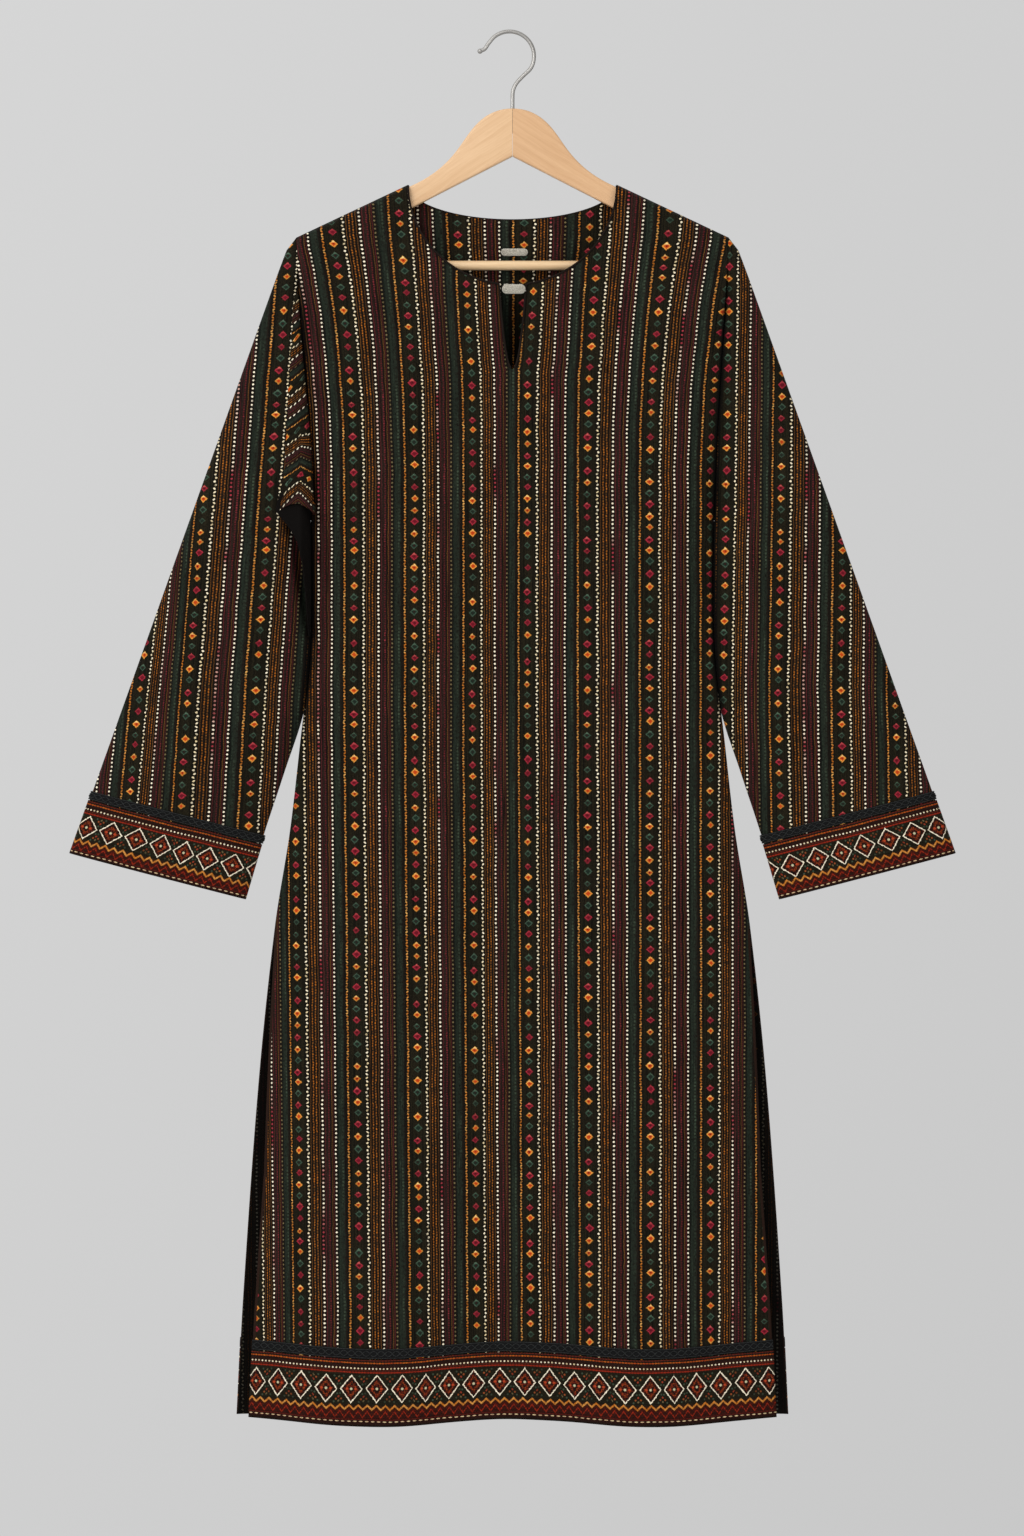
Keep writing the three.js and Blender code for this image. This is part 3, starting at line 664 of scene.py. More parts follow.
def border(name, lines, diamonds, zigzag, dark_zone, hem_line):
    """A border: u runs along it and v is the height over its edge, in millimetres."""
    paint = Paint(name)
    u, h = paint.uv()
    lift = (paint.noise(u * 0.03, h * 0.01, detail=1.0) - 0.5) * 1.4
    h = h + lift
    zones = [(0.0, DARK), (hem_line, srgb(46, 16, 11)), (dark_zone[1], srgb(68, 20, 12)), (zigzag + 3, OLIVE),
             (lines[2] - 2, OLIVE), (lines[2] + 1, srgb(52, 21, 14)), (lines[0] + 2, DARK)]
    paint.colour = paint.ramp(h / 80.0, [(height / 80, colour) for height, colour in zones])
    streak = paint.noise(u * 0.03, h * 0.7, detail=3.0, roughness=0.6)
    shade = weave(paint, u, h) * clamp((streak - 0.5) * 2.4 + 0.9)
    paint.bright(paint.vector(shade, shade, shade))
    fine = paint.random((u / 2.6).floor(), 5.0)

    worn = paint.noise(u * 0.4, h * 0.5, detail=2.0, roughness=0.7)
    wear = clamp((worn - 0.34) * 5.0)

    def row(height, half, pitch, share, colour, proud=0.6, shift=0.0):
        mask = line_mask(h - height, u, half, pitch, share, shift)
        paint.lay(colour, mask * (wear * 0.5 + 0.5), proud)

    row(lines[0], 0.75, 3.0, 1.0, paint.blend(srgb(150, 54, 20), ORANGE, fine * 0.6))
    row(lines[0] + 2.6, 0.6, 3.1, 1.0, srgb(96, 34, 22), 0.4)
    row(lines[1], 0.85, 3.7, 0.5, paint.blend(CREAM, WHITE, fine), 0.8)
    row(lines[2], 0.8, 3.0, 1.1, srgb(138, 38, 20))
    row((lines[1] + lines[2]) / 2, 0.5, 3.0, 1.0, srgb(84, 32, 20), 0.3)

    # Diamonds with a pale outline, a red-brown fill, a ring of dots and a bright heart
    centre, half_tall, half_wide, pitch = diamonds
    slip = (paint.noise(u * 0.012, 2.0, detail=0.0) - 0.5) * 12.0
    run = (u + slip) / pitch
    cell = run.floor()
    du = (run - cell - 0.5) * pitch
    own = paint.random(cell, 9.0)
    dh = h - centre + (own - 0.5) * 1.2
    ragged = (paint.noise(u * 0.5, h * 0.5, 4.0, detail=2.0) - 0.5) * 0.26
    reach = du.abs() / half_wide + dh.abs() / half_tall + ragged
    inside = reach.under(0.93, 0.06)
    speck = paint.noise(u * 0.42, h * 0.42, detail=2.0, roughness=0.7)
    fill = paint.blend(srgb(24, 13, 9), srgb(116, 34, 18), clamp((speck - 0.5) * 5.0))
    paint.lay(fill, inside, 0.35)
    ring = (reach - 0.50).abs().under(0.10, 0.08)
    beads = ((du * 1.9).sin() * (dh * 1.9).sin()).abs()
    paint.lay(srgb(168, 70, 28), ring * beads * wear, 0.5)
    for reach_out, colour in ((4.2, srgb(170, 62, 34)), (0.0, srgb(190, 186, 150))):
        dots = ((du.abs() - reach_out) * (du.abs() - reach_out) + dh * dh).under(1.6, 1.6)
        paint.lay(colour, dots, 0.6)
    stitch = dashes(dh, 2.4, 1.3).under(1.0, 0.8)
    outline = (reach - 0.97).abs().under(0.06, 0.05)
    paint.lay(paint.blend(srgb(150, 122, 88), WHITE, stitch), outline * (wear * 0.3 + 0.7), 0.9)
    second = (reach - 0.78).abs().under(0.03, 0.05)
    paint.lay(srgb(16, 10, 8), second * 0.8)
    # Clusters of small dots between the diamonds
    gap_u = pitch / 2 - du.abs()
    for out, up, colour in ((0.0, 0.86, FADED), (2.6, 0.72, srgb(150, 78, 40)), (4.6, 0.92, PALE_GREEN),
                            (0.0, 0.55, srgb(160, 60, 40)), (1.4, 0.34, PALE_GREEN)):
        dx = gap_u - out
        dy = dh.abs() - half_tall * up
        paint.lay(colour, (dx * dx + dy * dy).under(0.9, 1.3) * (own * 0.5 + 0.4), 0.5)

    # Zigzags: a bright one over a dark zone with smaller ones
    tooth = (u / 9.2).wrap(1.0).abs() * 2.0
    bright = (h - zigzag - (tooth - 0.5) * 4.2 - ragged * 5.0).abs().under(1.15, 0.8)
    paint.lay(paint.blend(ORANGE, PALE_ORANGE, fine * 0.5), bright * (wear * 0.5 + 0.5), 0.8)
    low, high = dark_zone
    inner_tooth = (h - (low + high) / 2 - (tooth - 0.5) * (high - low) * 0.8).abs().under(0.9, 0.9)
    paint.lay(srgb(142, 38, 18), inner_tooth * wear, 0.5)
    cross_tooth = (h - (low + high) / 2 + (tooth - 0.5) * (high - low) * 0.7).abs().under(0.7, 0.8)
    paint.lay(DARK, cross_tooth * 0.7)
    row(hem_line, 0.6, 6.0, 0.62, paint.blend(CREAM, PINK, fine * 0.4), 0.7)
    row(hem_line + 1.9, 0.5, 3.2, 1.0, srgb(84, 24, 17), 0.3)
    return paint.finish(0.85, relief=0.8, gloss=0.08)


def plain_cloth(name, colour, paler, scale=1.0, roughness=0.85):
    """A dull woven cloth of one colour, for bindings and cords."""
    paint = Paint(name)
    x, y, z = paint.place()
    speckle = paint.noise(x * scale, y * scale, z * scale, detail=4.0, roughness=0.7)
    paint.colour = paint.blend(colour, paler, (speckle - 0.35) * 1.8)
    twill = ((x + z) * (2 * pi / 1.3)).sin()
    paint.height = twill * 0.15 + speckle * 0.3
    return paint.finish(roughness, relief=0.7, gloss=0.1)


def wood(name, pale, dark, along):
    """Satin varnished wood, its grain along the given way; along is a turn in the front plane, in degrees."""
    paint = Paint(name)
    x, y, z = paint.place()
    run = x * cos(radians(along)) + z * sin(radians(along))
    cross = z * cos(radians(along)) - x * sin(radians(along))
    bend = paint.noise(run * 0.012, cross * 0.05, y * 0.05, detail=2.0)
    grain = paint.noise(run * 0.014, (cross + bend * 9.0) * 0.42, y * 0.42, detail=3.0, roughness=0.55)
    pores = paint.noise(run * 0.09, cross * 2.4, y * 2.4, detail=2.0, roughness=0.6)
    paint.colour = paint.blend(pale, dark, (grain - 0.30) * 1.5)
    paint.lay(dark, (pores - 0.52).most(0.0) * 2.2)
    paint.height = pores * 0.10 + grain * 0.12
    return paint.finish(grain * 0.16 + 0.34, relief=0.35, Coat_Weight=0.25, Coat_Roughness=0.25)


def steel(name):
    paint = Paint(name)
    x, y, z = paint.place()
    cloud = paint.noise(x * 0.12, y * 0.12, z * 0.12)
    paint.colour = paint.blend(srgb(158, 155, 151), srgb(182, 180, 176), cloud)
    return paint.finish(0.42, relief=0.0, Metallic=1.0)


def silver_thread(name):
    paint = Paint(name)
    x, y, z = paint.place()
    fuzz = paint.noise(x * 1.6, y * 1.6, z * 1.6, detail=4.0, roughness=0.75)
    paint.colour = paint.blend(srgb(112, 106, 94), srgb(232, 226, 210), clamp((fuzz - 0.34) * 3.0))
    paint.height = fuzz * 0.5
    return paint.finish(0.55, relief=0.9, sheen=0.15)


CLOTH = stripes("striped_cloth")
CLOTH_INSIDE = stripes("striped_cloth_inside", inside=True)
HEM_BORDER = border("hem_border", (62.6, 57.2, 53.2), (36.7, 13.9, 10.9, 25.0), 18.4, (7.6, 15.4), 4.6)
CUFF_BORDER = border("cuff_border", (52.8, 47.6, 43.4), (30.0, 11.8, 11.6, 25.6), 14.4, (5.2, 12.0), 3.2)
BRAID_CLOTH = plain_cloth("braid_ground", srgb(15, 15, 15), srgb(30, 31, 32))
BRAID_CORD = plain_cloth("braid_cord", srgb(24, 25, 25), srgb(76, 78, 77), 0.8)
BINDING = plain_cloth("edge_binding", srgb(20, 15, 12), srgb(44, 33, 26))
# Near-black cloth for the sheet under the left sleeve's fold: painted shade
FOLD_SHADOW_CLOTH = plain_cloth("fold_painted_shadow", srgb(8, 6, 5), srgb(17, 12, 9))
SILVER = silver_thread("silver_thread")
WOOD_LEFT = wood("wood_left", srgb(229, 190, 146), srgb(209, 164, 118), 33)
WOOD_RIGHT = wood("wood_right", srgb(222, 179, 134), srgb(200, 152, 106), -33)
WOOD_BAR = wood("wood_bar", srgb(236, 204, 160), srgb(214, 172, 124), 0)
STEEL = steel("hook_steel")

# ---------------------------------------------------------------- where the stripes run
# Places across the front, at the chest, of its columns of diamonds
FRONT_COLUMNS = [-322, -264, -218.4, -158.1, -97.5, -39.7, 14.7, 74.5, 136.8, 197.5, 253, 311]
fan_share = curve([[-150, 0.165], [-207, 0.13], [-235, 0.10], [-296, 0.05], [-374, 0.012], [-440, 0]])


def stripe_place(x, z, is_front):
    """u on a panel: the stripes fan out to the shoulders and step aside for the slit."""
    if not is_front:
        return x / (1 + fan_share(z)) + 48
    slit_shift = 7 * np.clip((z - SLIT_Z) / 85, 0, 1) ** 0.6 * np.exp(-np.abs(x) / 55) * np.sign(x)
    drift = np.clip((-690 - z) / 610, 0, 1) * (3.5 - 0.02 * x)
    chest = (x - slit_shift) / (1 + fan_share(z)) - drift
    return np.interp(chest, FRONT_COLUMNS, np.arange(len(FRONT_COLUMNS)) * REPEAT)


# ---------------------------------------------------------------- body panels
STEP = 5.0                     # spacing of the cloth's points
V_START = 1500                 # keeps v above 0 all down the cloth
U_START = 500                  # keeps u above 0 all along a border


def panel_grid(is_front, side):
    """Points of half a panel from the shoulder down to the hem."""
    start = SLIT_HALF if is_front else 0
    shoulder = float(side_line(SHOULDER_Z))
    turn = np.arccos(start / NECK_HALF)
    neck = NECK_HALF * np.cos(turn * np.linspace(1, 0, 27) ** 1.15)
    widths = np.concatenate([neck, np.linspace(NECK_HALF, shoulder, 24)[1:]])
    shares = (widths - start) / (shoulder - start)
    close = 1 - (1 - np.linspace(0.86, 1, 15)) ** 1.25 / 0.14 ** 0.25
    shares = np.unique(np.round(np.concatenate([shares[shares < 0.86], close]), 5))
    widths = start + shares * (shoulder - start)
    tops = top_height(widths, is_front)
    falls = np.unique(np.concatenate([np.linspace(0, 0.16, 16), np.linspace(0.16, 1, 50)]))
    upper = tops[None, :] + (ARMPIT_Z - tops)[None, :] * falls[:, None]
    hems = hem_height(shares * half_width(HEM_Z, is_front))
    middle = np.linspace(0, 1, int((ARMPIT_Z - HEM_Z) / STEP))[1:, None]
    lower = ARMPIT_Z + (hems - ARMPIT_Z)[None, :] * middle
    z = np.concatenate([upper, lower])
    centre = slit_half(z) if is_front else 0 * z
    f = np.broadcast_to(shares, z.shape)
    return body_point(f, z, centre, side, is_front)


def mark(obj, label, values):
    data = obj.data.attributes.new(label, "FLOAT", "POINT")
    data.data.foreach_set("value", np.asarray(values, np.float32).ravel())


def crease_shade(from_seam, z, reach):
    """How strong the painted shade is: 1 deep in the crease between the sleeve and the body, which runs on
    below the armpit.
    """
    along = smooth(-z, 236, 300) * (1 - smooth(-z, 640, 730))
    return along * (1 - smooth(from_seam, reach * 0.35, reach))


def panel(name, is_front):
    points, faces, uv, edge, vent, painted_crease_shade, start = [], [], [], [], [], [], 0
    for side in (1, -1):
        grid = panel_grid(is_front, side)
        rows, columns = grid.shape[:2]
        x, z = grid[..., 0], grid[..., 2]
        points.append(grid.reshape(-1, 3))
        uv.append(np.stack([stripe_place(x, z, is_front), z + V_START], -1).reshape(-1, 2))
        edge.append((half_width(z, is_front) - np.abs(x)).ravel())
        vent.append(smooth(-z, -VENT_Z - 6, -VENT_Z + 10).ravel())
        # Painted shade along the panel's side edge, strongest deep in the crease by the sleeve
        painted_crease_shade.append(crease_shade(edge[-1], z.ravel(), 5.0 if side < 0 else 3.5))
        faces += grid_faces(rows, columns, start, flip=(side > 0) != is_front)
        start += rows * columns
    obj = new_object(name, np.concatenate(points), faces, np.concatenate(uv))
    for label, values in (("edge", edge), ("vent", vent), ("painted_crease_shade", painted_crease_shade)):
        mark(obj, label, np.concatenate(values))
    weld(obj)
    obj.data.materials.append(CLOTH)
    obj.data.materials.append(CLOTH_INSIDE)
    return shell(obj, SHELL)


def weld(obj):
    modifier = obj.modifiers.new("weld", "WELD")
    modifier.merge_threshold = 0.02 * MM
    apply_modifiers(obj)


def place_piece(obj, node):
    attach(obj, "root")
    if node:
        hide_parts(node)
    return obj


FRONT = place_piece(panel("front_cloth", True), "front_panel")
BACK = place_piece(panel("back_cloth", False), "back_panel")


def body_strip(is_front, heights, shares, lift):
    """A grid over a panel, lifted off it: heights are measured up from the hem, one for each row."""
    halves = []
    for side in (-1, 1):
        f = np.broadcast_to(shares, (len(heights), len(shares)))
        hems = hem_height(shares * half_width(HEM_Z, is_front))
        z = hems[None, :] + np.asarray(heights)[:, None]
        halves.append(body_point(f, z, 0 * z, side, is_front))
    grid = np.concatenate([halves[0][:, ::-1], halves[1][:, 1:]], axis=1)
    outward = np.zeros(3)
    outward[1] = -1 if is_front else 1
    normals = facing_out(normals_of(grid), outward)
    return grid + normals * lift, normals


def along(grid):
    """Length along a grid's last row, from its middle."""
    steps = np.linalg.norm(np.diff(grid[-1], axis=0), axis=1)
    run = np.concatenate([[0], np.cumsum(steps)])
    return run - run[len(run) // 2]


def band_object(name, grid, heights, run, flip, material, inner=None):
    rows, columns = grid.shape[:2]
    uv = np.stack(np.broadcast_arrays(run[None, :] + U_START, np.asarray(heights, float)[:, None]), -1)
    obj = new_object(name, grid.reshape(-1, 3), grid_faces(rows, columns, flip=flip), uv.reshape(-1, 2))
    obj.data.materials.append(material)
    obj.data.materials.append(inner or material)
    return shell(obj, TRIM)


def braid_parts(grid, normals, wide, run, link=7.6):
    """Two thin cords crossing in a chain along the middle of a braid, and one along each side."""
    middle = grid[len(grid) // 2]
    normal = normals[len(grid) // 2]
    up = grid[0] - grid[-1]
    up /= np.linalg.norm(up, axis=1, keepdims=True)
    fine = np.linspace(run[0] + 1, run[-1] - 1, int((run[-1] - run[0]) / 1.1))
    centre, out, rise = (np.stack([np.interp(fine, run, part[:, i]) for i in range(3)], -1)
                         for part in (middle, normal, up))
    parts = []
    for turn in (1, -1):
        phase = pi * fine / link
        sway = turn * np.sin(phase) * wide * 0.26
        over = turn * np.cos(phase) * 0.2 + 0.25
        parts.append(tube(centre + rise * sway[:, None] + out * over[:, None], 0.42, 6))
        edge = turn * (wide * 0.42 + 0.18 * np.sin(fine * 2 * pi / 2.4))
        parts.append(tube(centre + rise * edge[:, None] + out * 0.1, 0.4, 6))
    return parts


BRAID_ROWS = 7
BRAID_CROWN = 0.25             # how far a braid's middle stands above its edges
BELOW_EDGE = -0.4              # where a border's lower edge ends, under the cloth's


def sewn_trims(edge, word, strip, top, rows, span, flip, material):
    """A border with a braid above it and the braid's cords; strip(heights) gives their points and normals."""
    heights = np.linspace(top, BELOW_EDGE, rows)
    grid = strip(heights)[0]
    run = along(grid)
    band = band_object(edge + "_border_" + word, grid, heights, run, flip, material, BINDING)
    place_piece(band, edge + "_band_" + word)
    low, high = span
    heights = np.linspace(high, low, BRAID_ROWS)
    grid, normals = strip(heights)
    grid = grid + normals * (np.sin(np.linspace(0, pi, BRAID_ROWS))[:, None, None] * BRAID_CROWN)
    braid = band_object(edge + "_braid_ground_" + word, grid, heights, run, flip, BRAID_CLOTH)
    place_piece(braid, edge + "_braid_" + word)
    parts = braid_parts(grid, normals, high - low, run)
    cords = new_object(edge + "_braid_cords_" + word, *joined(parts))
    cords.data.materials.append(BRAID_CORD)
    place_piece(cords, None)
    return band, braid, cords


def hem_trims(word, is_front):
    shares = np.unique(np.concatenate([np.linspace(0, 0.9, 66), np.linspace(0.9, 1, 14)]))

    def strip(heights):
        return body_strip(is_front, heights, shares, TRIM_LIFT + TRIM)

    return sewn_trims("hem", word, strip, HEM_BAND, 26, HEM_BRAID, is_front, HEM_BORDER)


HEM_FRONT = hem_trims("front", True)
HEM_BACK = hem_trims("back", False)


def neck_edge(is_front, side):
    """The neckline from the centre, or the slit's end, to the neck point."""
    if is_front:
        z = np.linspace(SLIT_Z + 1, NECK_Z - FRONT_NECK_DROP, 30)
        slit = body_point(0 * z, z, slit_half(z), side, True)
        start = SLIT_HALF
    else:
        slit, start = np.zeros((0, 3)), 0
    turn = np.arccos(start / NECK_HALF)
    widths = NECK_HALF * np.cos(turn * np.linspace(1, 0, 60))
    shares = (widths - start) / (float(side_line(SHOULDER_Z)) - start)
    z = top_height(widths, is_front)
    centre = slit_half(z) if is_front else 0 * z
    ring = body_point(shares, z, centre, side, is_front)
    return np.concatenate([slit, ring[1:] if is_front else ring])


def binding(name, node, path, radius):
    obj = new_object(name, *tube(path, radius, 10))
    obj.data.materials.append(BINDING)
    place_piece(obj, node)


def neck_bindings():
    for side, word in ((-1, "left"), (1, "right")):
        path = neck_edge(True, side)[:-1]
        path[:, 1] -= 0.2
        binding("neck_edge_front_" + word, "neck_binding_front_" + word, path, 1.05)
    both = np.concatenate([neck_edge(False, -1)[:0:-1], neck_edge(False, 1)])[1:-1]
    both[:, 1] += 0.2
    binding("neck_edge_back", "neck_binding_back", both, 1.1)


neck_bindings()


# ---------------------------------------------------------------- sleeves
outer_points = np.array(OUTER_LINE, float)
outer_steps = np.linalg.norm(np.diff(outer_points, axis=0), axis=1)
outer_run = np.concatenate([[0], np.cumsum(outer_steps)])
SLEEVE_LENGTH = float(outer_run[-1])


def outer_at(distance):
    return np.array([np.interp(distance, outer_run, outer_points[:, i]) for i in range(2)])


def ring_inner(outer_z):
    drop = FAN_SOFTNESS * np.log1p(np.exp((FAN_END_Z - outer_z) / FAN_SOFTNESS))
    z = ARMPIT_Z - drop - FAN_CREEP * (SHOULDER_Z - outer_z)
    return np.array([max(side_line(z) + SLEEVE_GAP, inner_line(z)), z])


# Creases of both sleeves, in the front plane: across, down, half width, half height, depth, lean
SLEEVE_CREASES = [(262, -420, 9, 130, -2.4, -0.20), (300, -560, 13, 150, -2.4, -0.28),
                  (330, -700, 14, 120, 1.8, -0.30), (288, -720, 10, 110, -1.8, -0.12)]
# Height, middle out from the side line, half width
FOLD_LINE = [[-262, 3, 2], [-300, 8, 7], [-340, 10.5, 11], [-392, 11.5, 14], [-430, 12.5, 16],
             [-466, 15.5, 19.5], [-484, 17, 21]]
HOLLOW_OUT = 25.5              # how far the sheet of painted shade in the hollow stands out
# Height and far side of the sheet of painted shade in the hollow under the fold
HOLLOW_LINE = [[-462, 232], [-478, 236], [-487, 229], [-497, 221],
               [-510, 214], [-530, 209], [-560, 206], [-604, 203]]
TUCK = (1.7, 3.6)              # how far the sleeve's inner edge goes in, and back
POCKET_TOP = -497
POCKET_DEEP = 15.0
PLUMB_Z = -656                 # height at which the sleeves' columns of diamonds are given


def sleeve_creases(x, z, facing):
    total = 0 * x
    for across, down, wide, tall, depth, lean in SLEEVE_CREASES:
        line = across + (9 if facing > 0 else 0) + lean * (z - down)
        total = total + depth * bump_at(x, line, wide) * bump_at(z, down, tall)
    return total


def pocket(x, z):
    """The hollow under the fold's lip, in the left sleeve's front."""
    width = np.interp(z, [-625, -570, -520, -492], [3, 5, 12, 13])
    middle = np.interp(z, [-625, -570, -520, -492], [205, 206, 209, 213])
    share = smooth(z, -630, -560) * (1 - smooth(z, POCKET_TOP, POCKET_TOP + 12))
    return -POCKET_DEEP * share * np.exp(-np.abs((x - middle) / width) ** 3)


def underarm_tuck(z):
    """1 where the sleeve's inner edge lies tucked behind the body's side."""
    return smooth(-z, 486, 494) * (1 - smooth(-z, 690, 740))


def sleeve_ring(distance, shares, side, facing):
    outer = outer_at(distance)
    inner = ring_inner(outer[1])
    x = mix(outer[0], inner[0], shares)
    z = mix(outer[1], inner[1], shares)
    if distance == 0:
        z = mix(SHOULDER_Z, ARMPIT_Z, shares)
        x = side_line(z) + SEWN
    detail = sleeve_creases(x, z, facing) * smooth(distance, 0, 60)
    detail = detail + seam_crease(x - side_line(z), z, 7.0) / np.maximum(loop_shape(shares), 0.3)
    if side < 0 and facing < 0:
        detail = detail + pocket(x, z)
    depth = np.maximum(0, (sleeve_depth(distance) + detail)) * loop_shape(shares)
    tuck = underarm_tuck(z) * smooth(shares, 0.985, 1)
    return np.stack([side * (x - TUCK[0] * tuck), facing * depth + TUCK[1] * tuck, z], -1)


LEFT_SLEEVE_COLUMNS = [-430, -371.5, -323.5, -255.5, -198, -140]
RIGHT_SLEEVE_COLUMNS = [150, 210.5, 264.5, 327.5, 382.1, 440]


def sleeve_stripe_place(x, z, side):
    """u on a sleeve; the left one hangs a little off the straight."""
    if side > 0:
        straight = x + np.where(z > PLUMB_Z, 0.014, -0.02) * (PLUMB_Z - z)
        return np.interp(straight, RIGHT_SLEEVE_COLUMNS, np.arange(6) * REPEAT)
    lean = np.interp(-x, [255.5, 323.5, 371.5], [0.0734, 0.080, 0.123])
    straight = x + lean * (PLUMB_Z - z) * np.where(z > PLUMB_Z, 1.0, 0.75)
    return np.interp(straight, LEFT_SLEEVE_COLUMNS, np.arange(6) * REPEAT)


def sleeve_rings(side, distances, shares):
    front = np.array([sleeve_ring(d, shares, side, -1) for d in distances])
    back = np.array([sleeve_ring(d, shares, side, 1) for d in distances])
    return np.concatenate([front, back[:, -2:0:-1]], axis=1)


def sleeve(word, side):
    shares = 0.5 - 0.5 * np.cos(np.linspace(0, pi, 60))
    distances = np.concatenate([np.linspace(0, 60, 16), np.linspace(60, SLEEVE_LENGTH, 122)[1:]])
    rings = sleeve_rings(side, distances, shares)
    rows, columns = rings.shape[:2]
    x, z = rings[..., 0], rings[..., 2]
    u, v = sleeve_stripe_place(x, z, side), z + V_START
    behind = (rings[..., 1] > 1.8) * underarm_tuck(z)
    keep_out = side_line(z) + SEWN - TUCK[0] * behind
    rings[..., 0] = side * np.maximum(side * x, keep_out)
    uv = np.stack([u, v], -1)
    faces = grid_faces(rows, columns, flip=side < 0, closed=True)
    obj = new_object("sleeve_cloth_" + word, rings.reshape(-1, 3), faces, uv.reshape(-1, 2))
    # Painted shade where the sleeve meets the body's side
    mark(obj, "painted_crease_shade", crease_shade(np.abs(rings[..., 0]) - side_line(z), z, 6.0 if side < 0 else 4.5))
    obj.data.materials.append(CLOTH)
    obj.data.materials.append(CLOTH_INSIDE)
    return place_piece(shell(obj, SHELL), "sleeve_" + word)


def armpit_fold():
    """The left sleeve's bunched cloth: a long swell beside the armhole that ends in a hanging lip."""
    line = np.array(FOLD_LINE[::-1], float)
    down = np.linspace(0, 1, 74)
    z = line[-1, 0] + (line[0, 0] - line[-1, 0]) * down
    out = np.interp(z, line[:, 0], line[:, 1])
    half = np.interp(z, line[:, 0], line[:, 2])
    t = np.linspace(-1, 1, 31)
    height = np.interp(down, [0, 0.25, 0.6, 1], [2, 6, 10, 13])
    ripple = 0.5 * np.sin(z[:, None] * 2 * pi / 17 + t * 2.6) * (1 - t ** 2)
    x = (side_line(z) + out)[:, None] + half[:, None] * t
    puff = (1 - np.abs(t) ** 2.6) ** 0.62
    base = 14 + 5 * down[:, None]
    y = -(base + height[:, None] * puff + ripple) + 3.0
    lip_sag = (13 * (1 - t ** 2) - 3 * t)[None, :] * smooth(down, 0.8, 1)[:, None]
    sheet = np.stack([-x, y, z[:, None] + lip_sag], -1)
    turn = np.linspace(0, pi, 9)[1:]
    edge = sheet[-1]
    lip = []
    for a in turn:
        curl = 5.0 * (1 - cos(a))
        lip.append(edge + np.stack([0 * t, curl * (1 - t ** 4), -3.0 * sin(a) + curl + 0 * t], -1))
    sheet = np.concatenate([sheet, np.array(lip)])
    run = np.concatenate([[0], np.cumsum(np.linalg.norm(np.diff(sheet[:, 15], axis=0), axis=1))])
    across = np.concatenate([np.abs(half), np.full(len(turn), half[-1])])[:, None] * t
    lower = np.concatenate([smooth(down, 0.45, 0.8), np.ones(len(turn))])[:, None]
    ridge = np.where(across < -5, 1.9 * (across + 5), 0) * lower
    u = run[:, None] * 1.25 - 0.95 * across + 0.016 * across ** 2 + ridge
    v = across * 1.3 - run[:, None] * 0.5 + 700
    uv = np.stack([u, v], -1)
    faces = grid_faces(*sheet.shape[:2])
    obj = new_object("sleeve_fold_left", sheet.reshape(-1, 3), faces, uv.reshape(-1, 2))
    obj.data.materials.append(CLOTH)
    obj.data.materials.append(CLOTH_INSIDE)
    return place_piece(shell(obj, SHELL), None)


def fold_shadow_sheet():
    """A near-black sheet under the fold's lip: painted shade standing for the shadow in the hollow there."""
    line = np.array(HOLLOW_LINE[::-1], float)
    z = np.linspace(line[-1, 0], line[0, 0], 60)
    far = np.interp(z, line[:, 0], line[:, 1])
    near = side_line(z) + SEAM
    t = np.linspace(0, 1, 15)
    x = near[:, None] + (far - near)[:, None] * t
    face = -HOLLOW_OUT * np.clip((x - near[:, None]) / 9, 0, 1) ** 0.4
    sag = 2.0 * np.sin(pi * t)[None, :]
    sheet = np.stack([-x, face - 1.5 + sag, z[:, None] + 0 * x], -1)
    points = sheet.reshape(-1, 3)
    obj = new_object("sleeve_fold_painted_shadow", points, grid_faces(*sheet.shape[:2]), 0 * points[:, :2])
    obj.data.materials.append(FOLD_SHADOW_CLOTH)
    return place_piece(shell(obj, 0.8), None)


def cuff_strip(side, heights, lift):
    shares = 0.5 - 0.5 * np.cos(np.linspace(0, pi, 60))
    grid = sleeve_rings(side, [SLEEVE_LENGTH - up for up in heights], shares)
    ring = np.concatenate([grid, grid[:, :1]], axis=1)
    normals = normals_of(np.concatenate([grid[:, -2:], grid, grid[:, :3]], axis=1))[:, 2:-2]
    middle = grid.mean(axis=(0, 1))
    normals = facing_out(normals, ring - middle)
    return ring + normals * lift, normals


def cuff_trims(word, side):
    def strip(heights):
        return cuff_strip(side, heights, TRIM_LIFT + TRIM)

    return sewn_trims("cuff", word, strip, CUFF_BAND, 24, CUFF_BRAID, side > 0, CUFF_BORDER)


SLEEVES = {word: sleeve(word, side) for word, side in (("left", -1), ("right", 1))}
FOLD = armpit_fold()
FOLD_SHADOW = fold_shadow_sheet()
CUFFS = {word: cuff_trims(word, side) for word, side in (("left", -1), ("right", 1))}


# ---------------------------------------------------------------- closure and tag
def ball(centre, radii, rings=5, sides=8, turn=0.0):
    polar = np.linspace(0, pi, rings)
    around = np.arange(sides) * 2 * pi / sides
    local = np.stack(np.broadcast_arrays(np.sin(polar)[:, None] * np.cos(around)[None],
                                         np.sin(polar)[:, None] * np.sin(around)[None],
                                         np.cos(polar)[:, None] + 0 * around[None]), -1) * radii
    c, s = cos(turn), sin(turn)
    spun = np.stack([local[..., 0] * c - local[..., 2] * s, local[..., 1],
                     local[..., 0] * s + local[..., 2] * c], -1)
    return (spun + centre).reshape(-1, 3), grid_faces(rings, sides, closed=True)


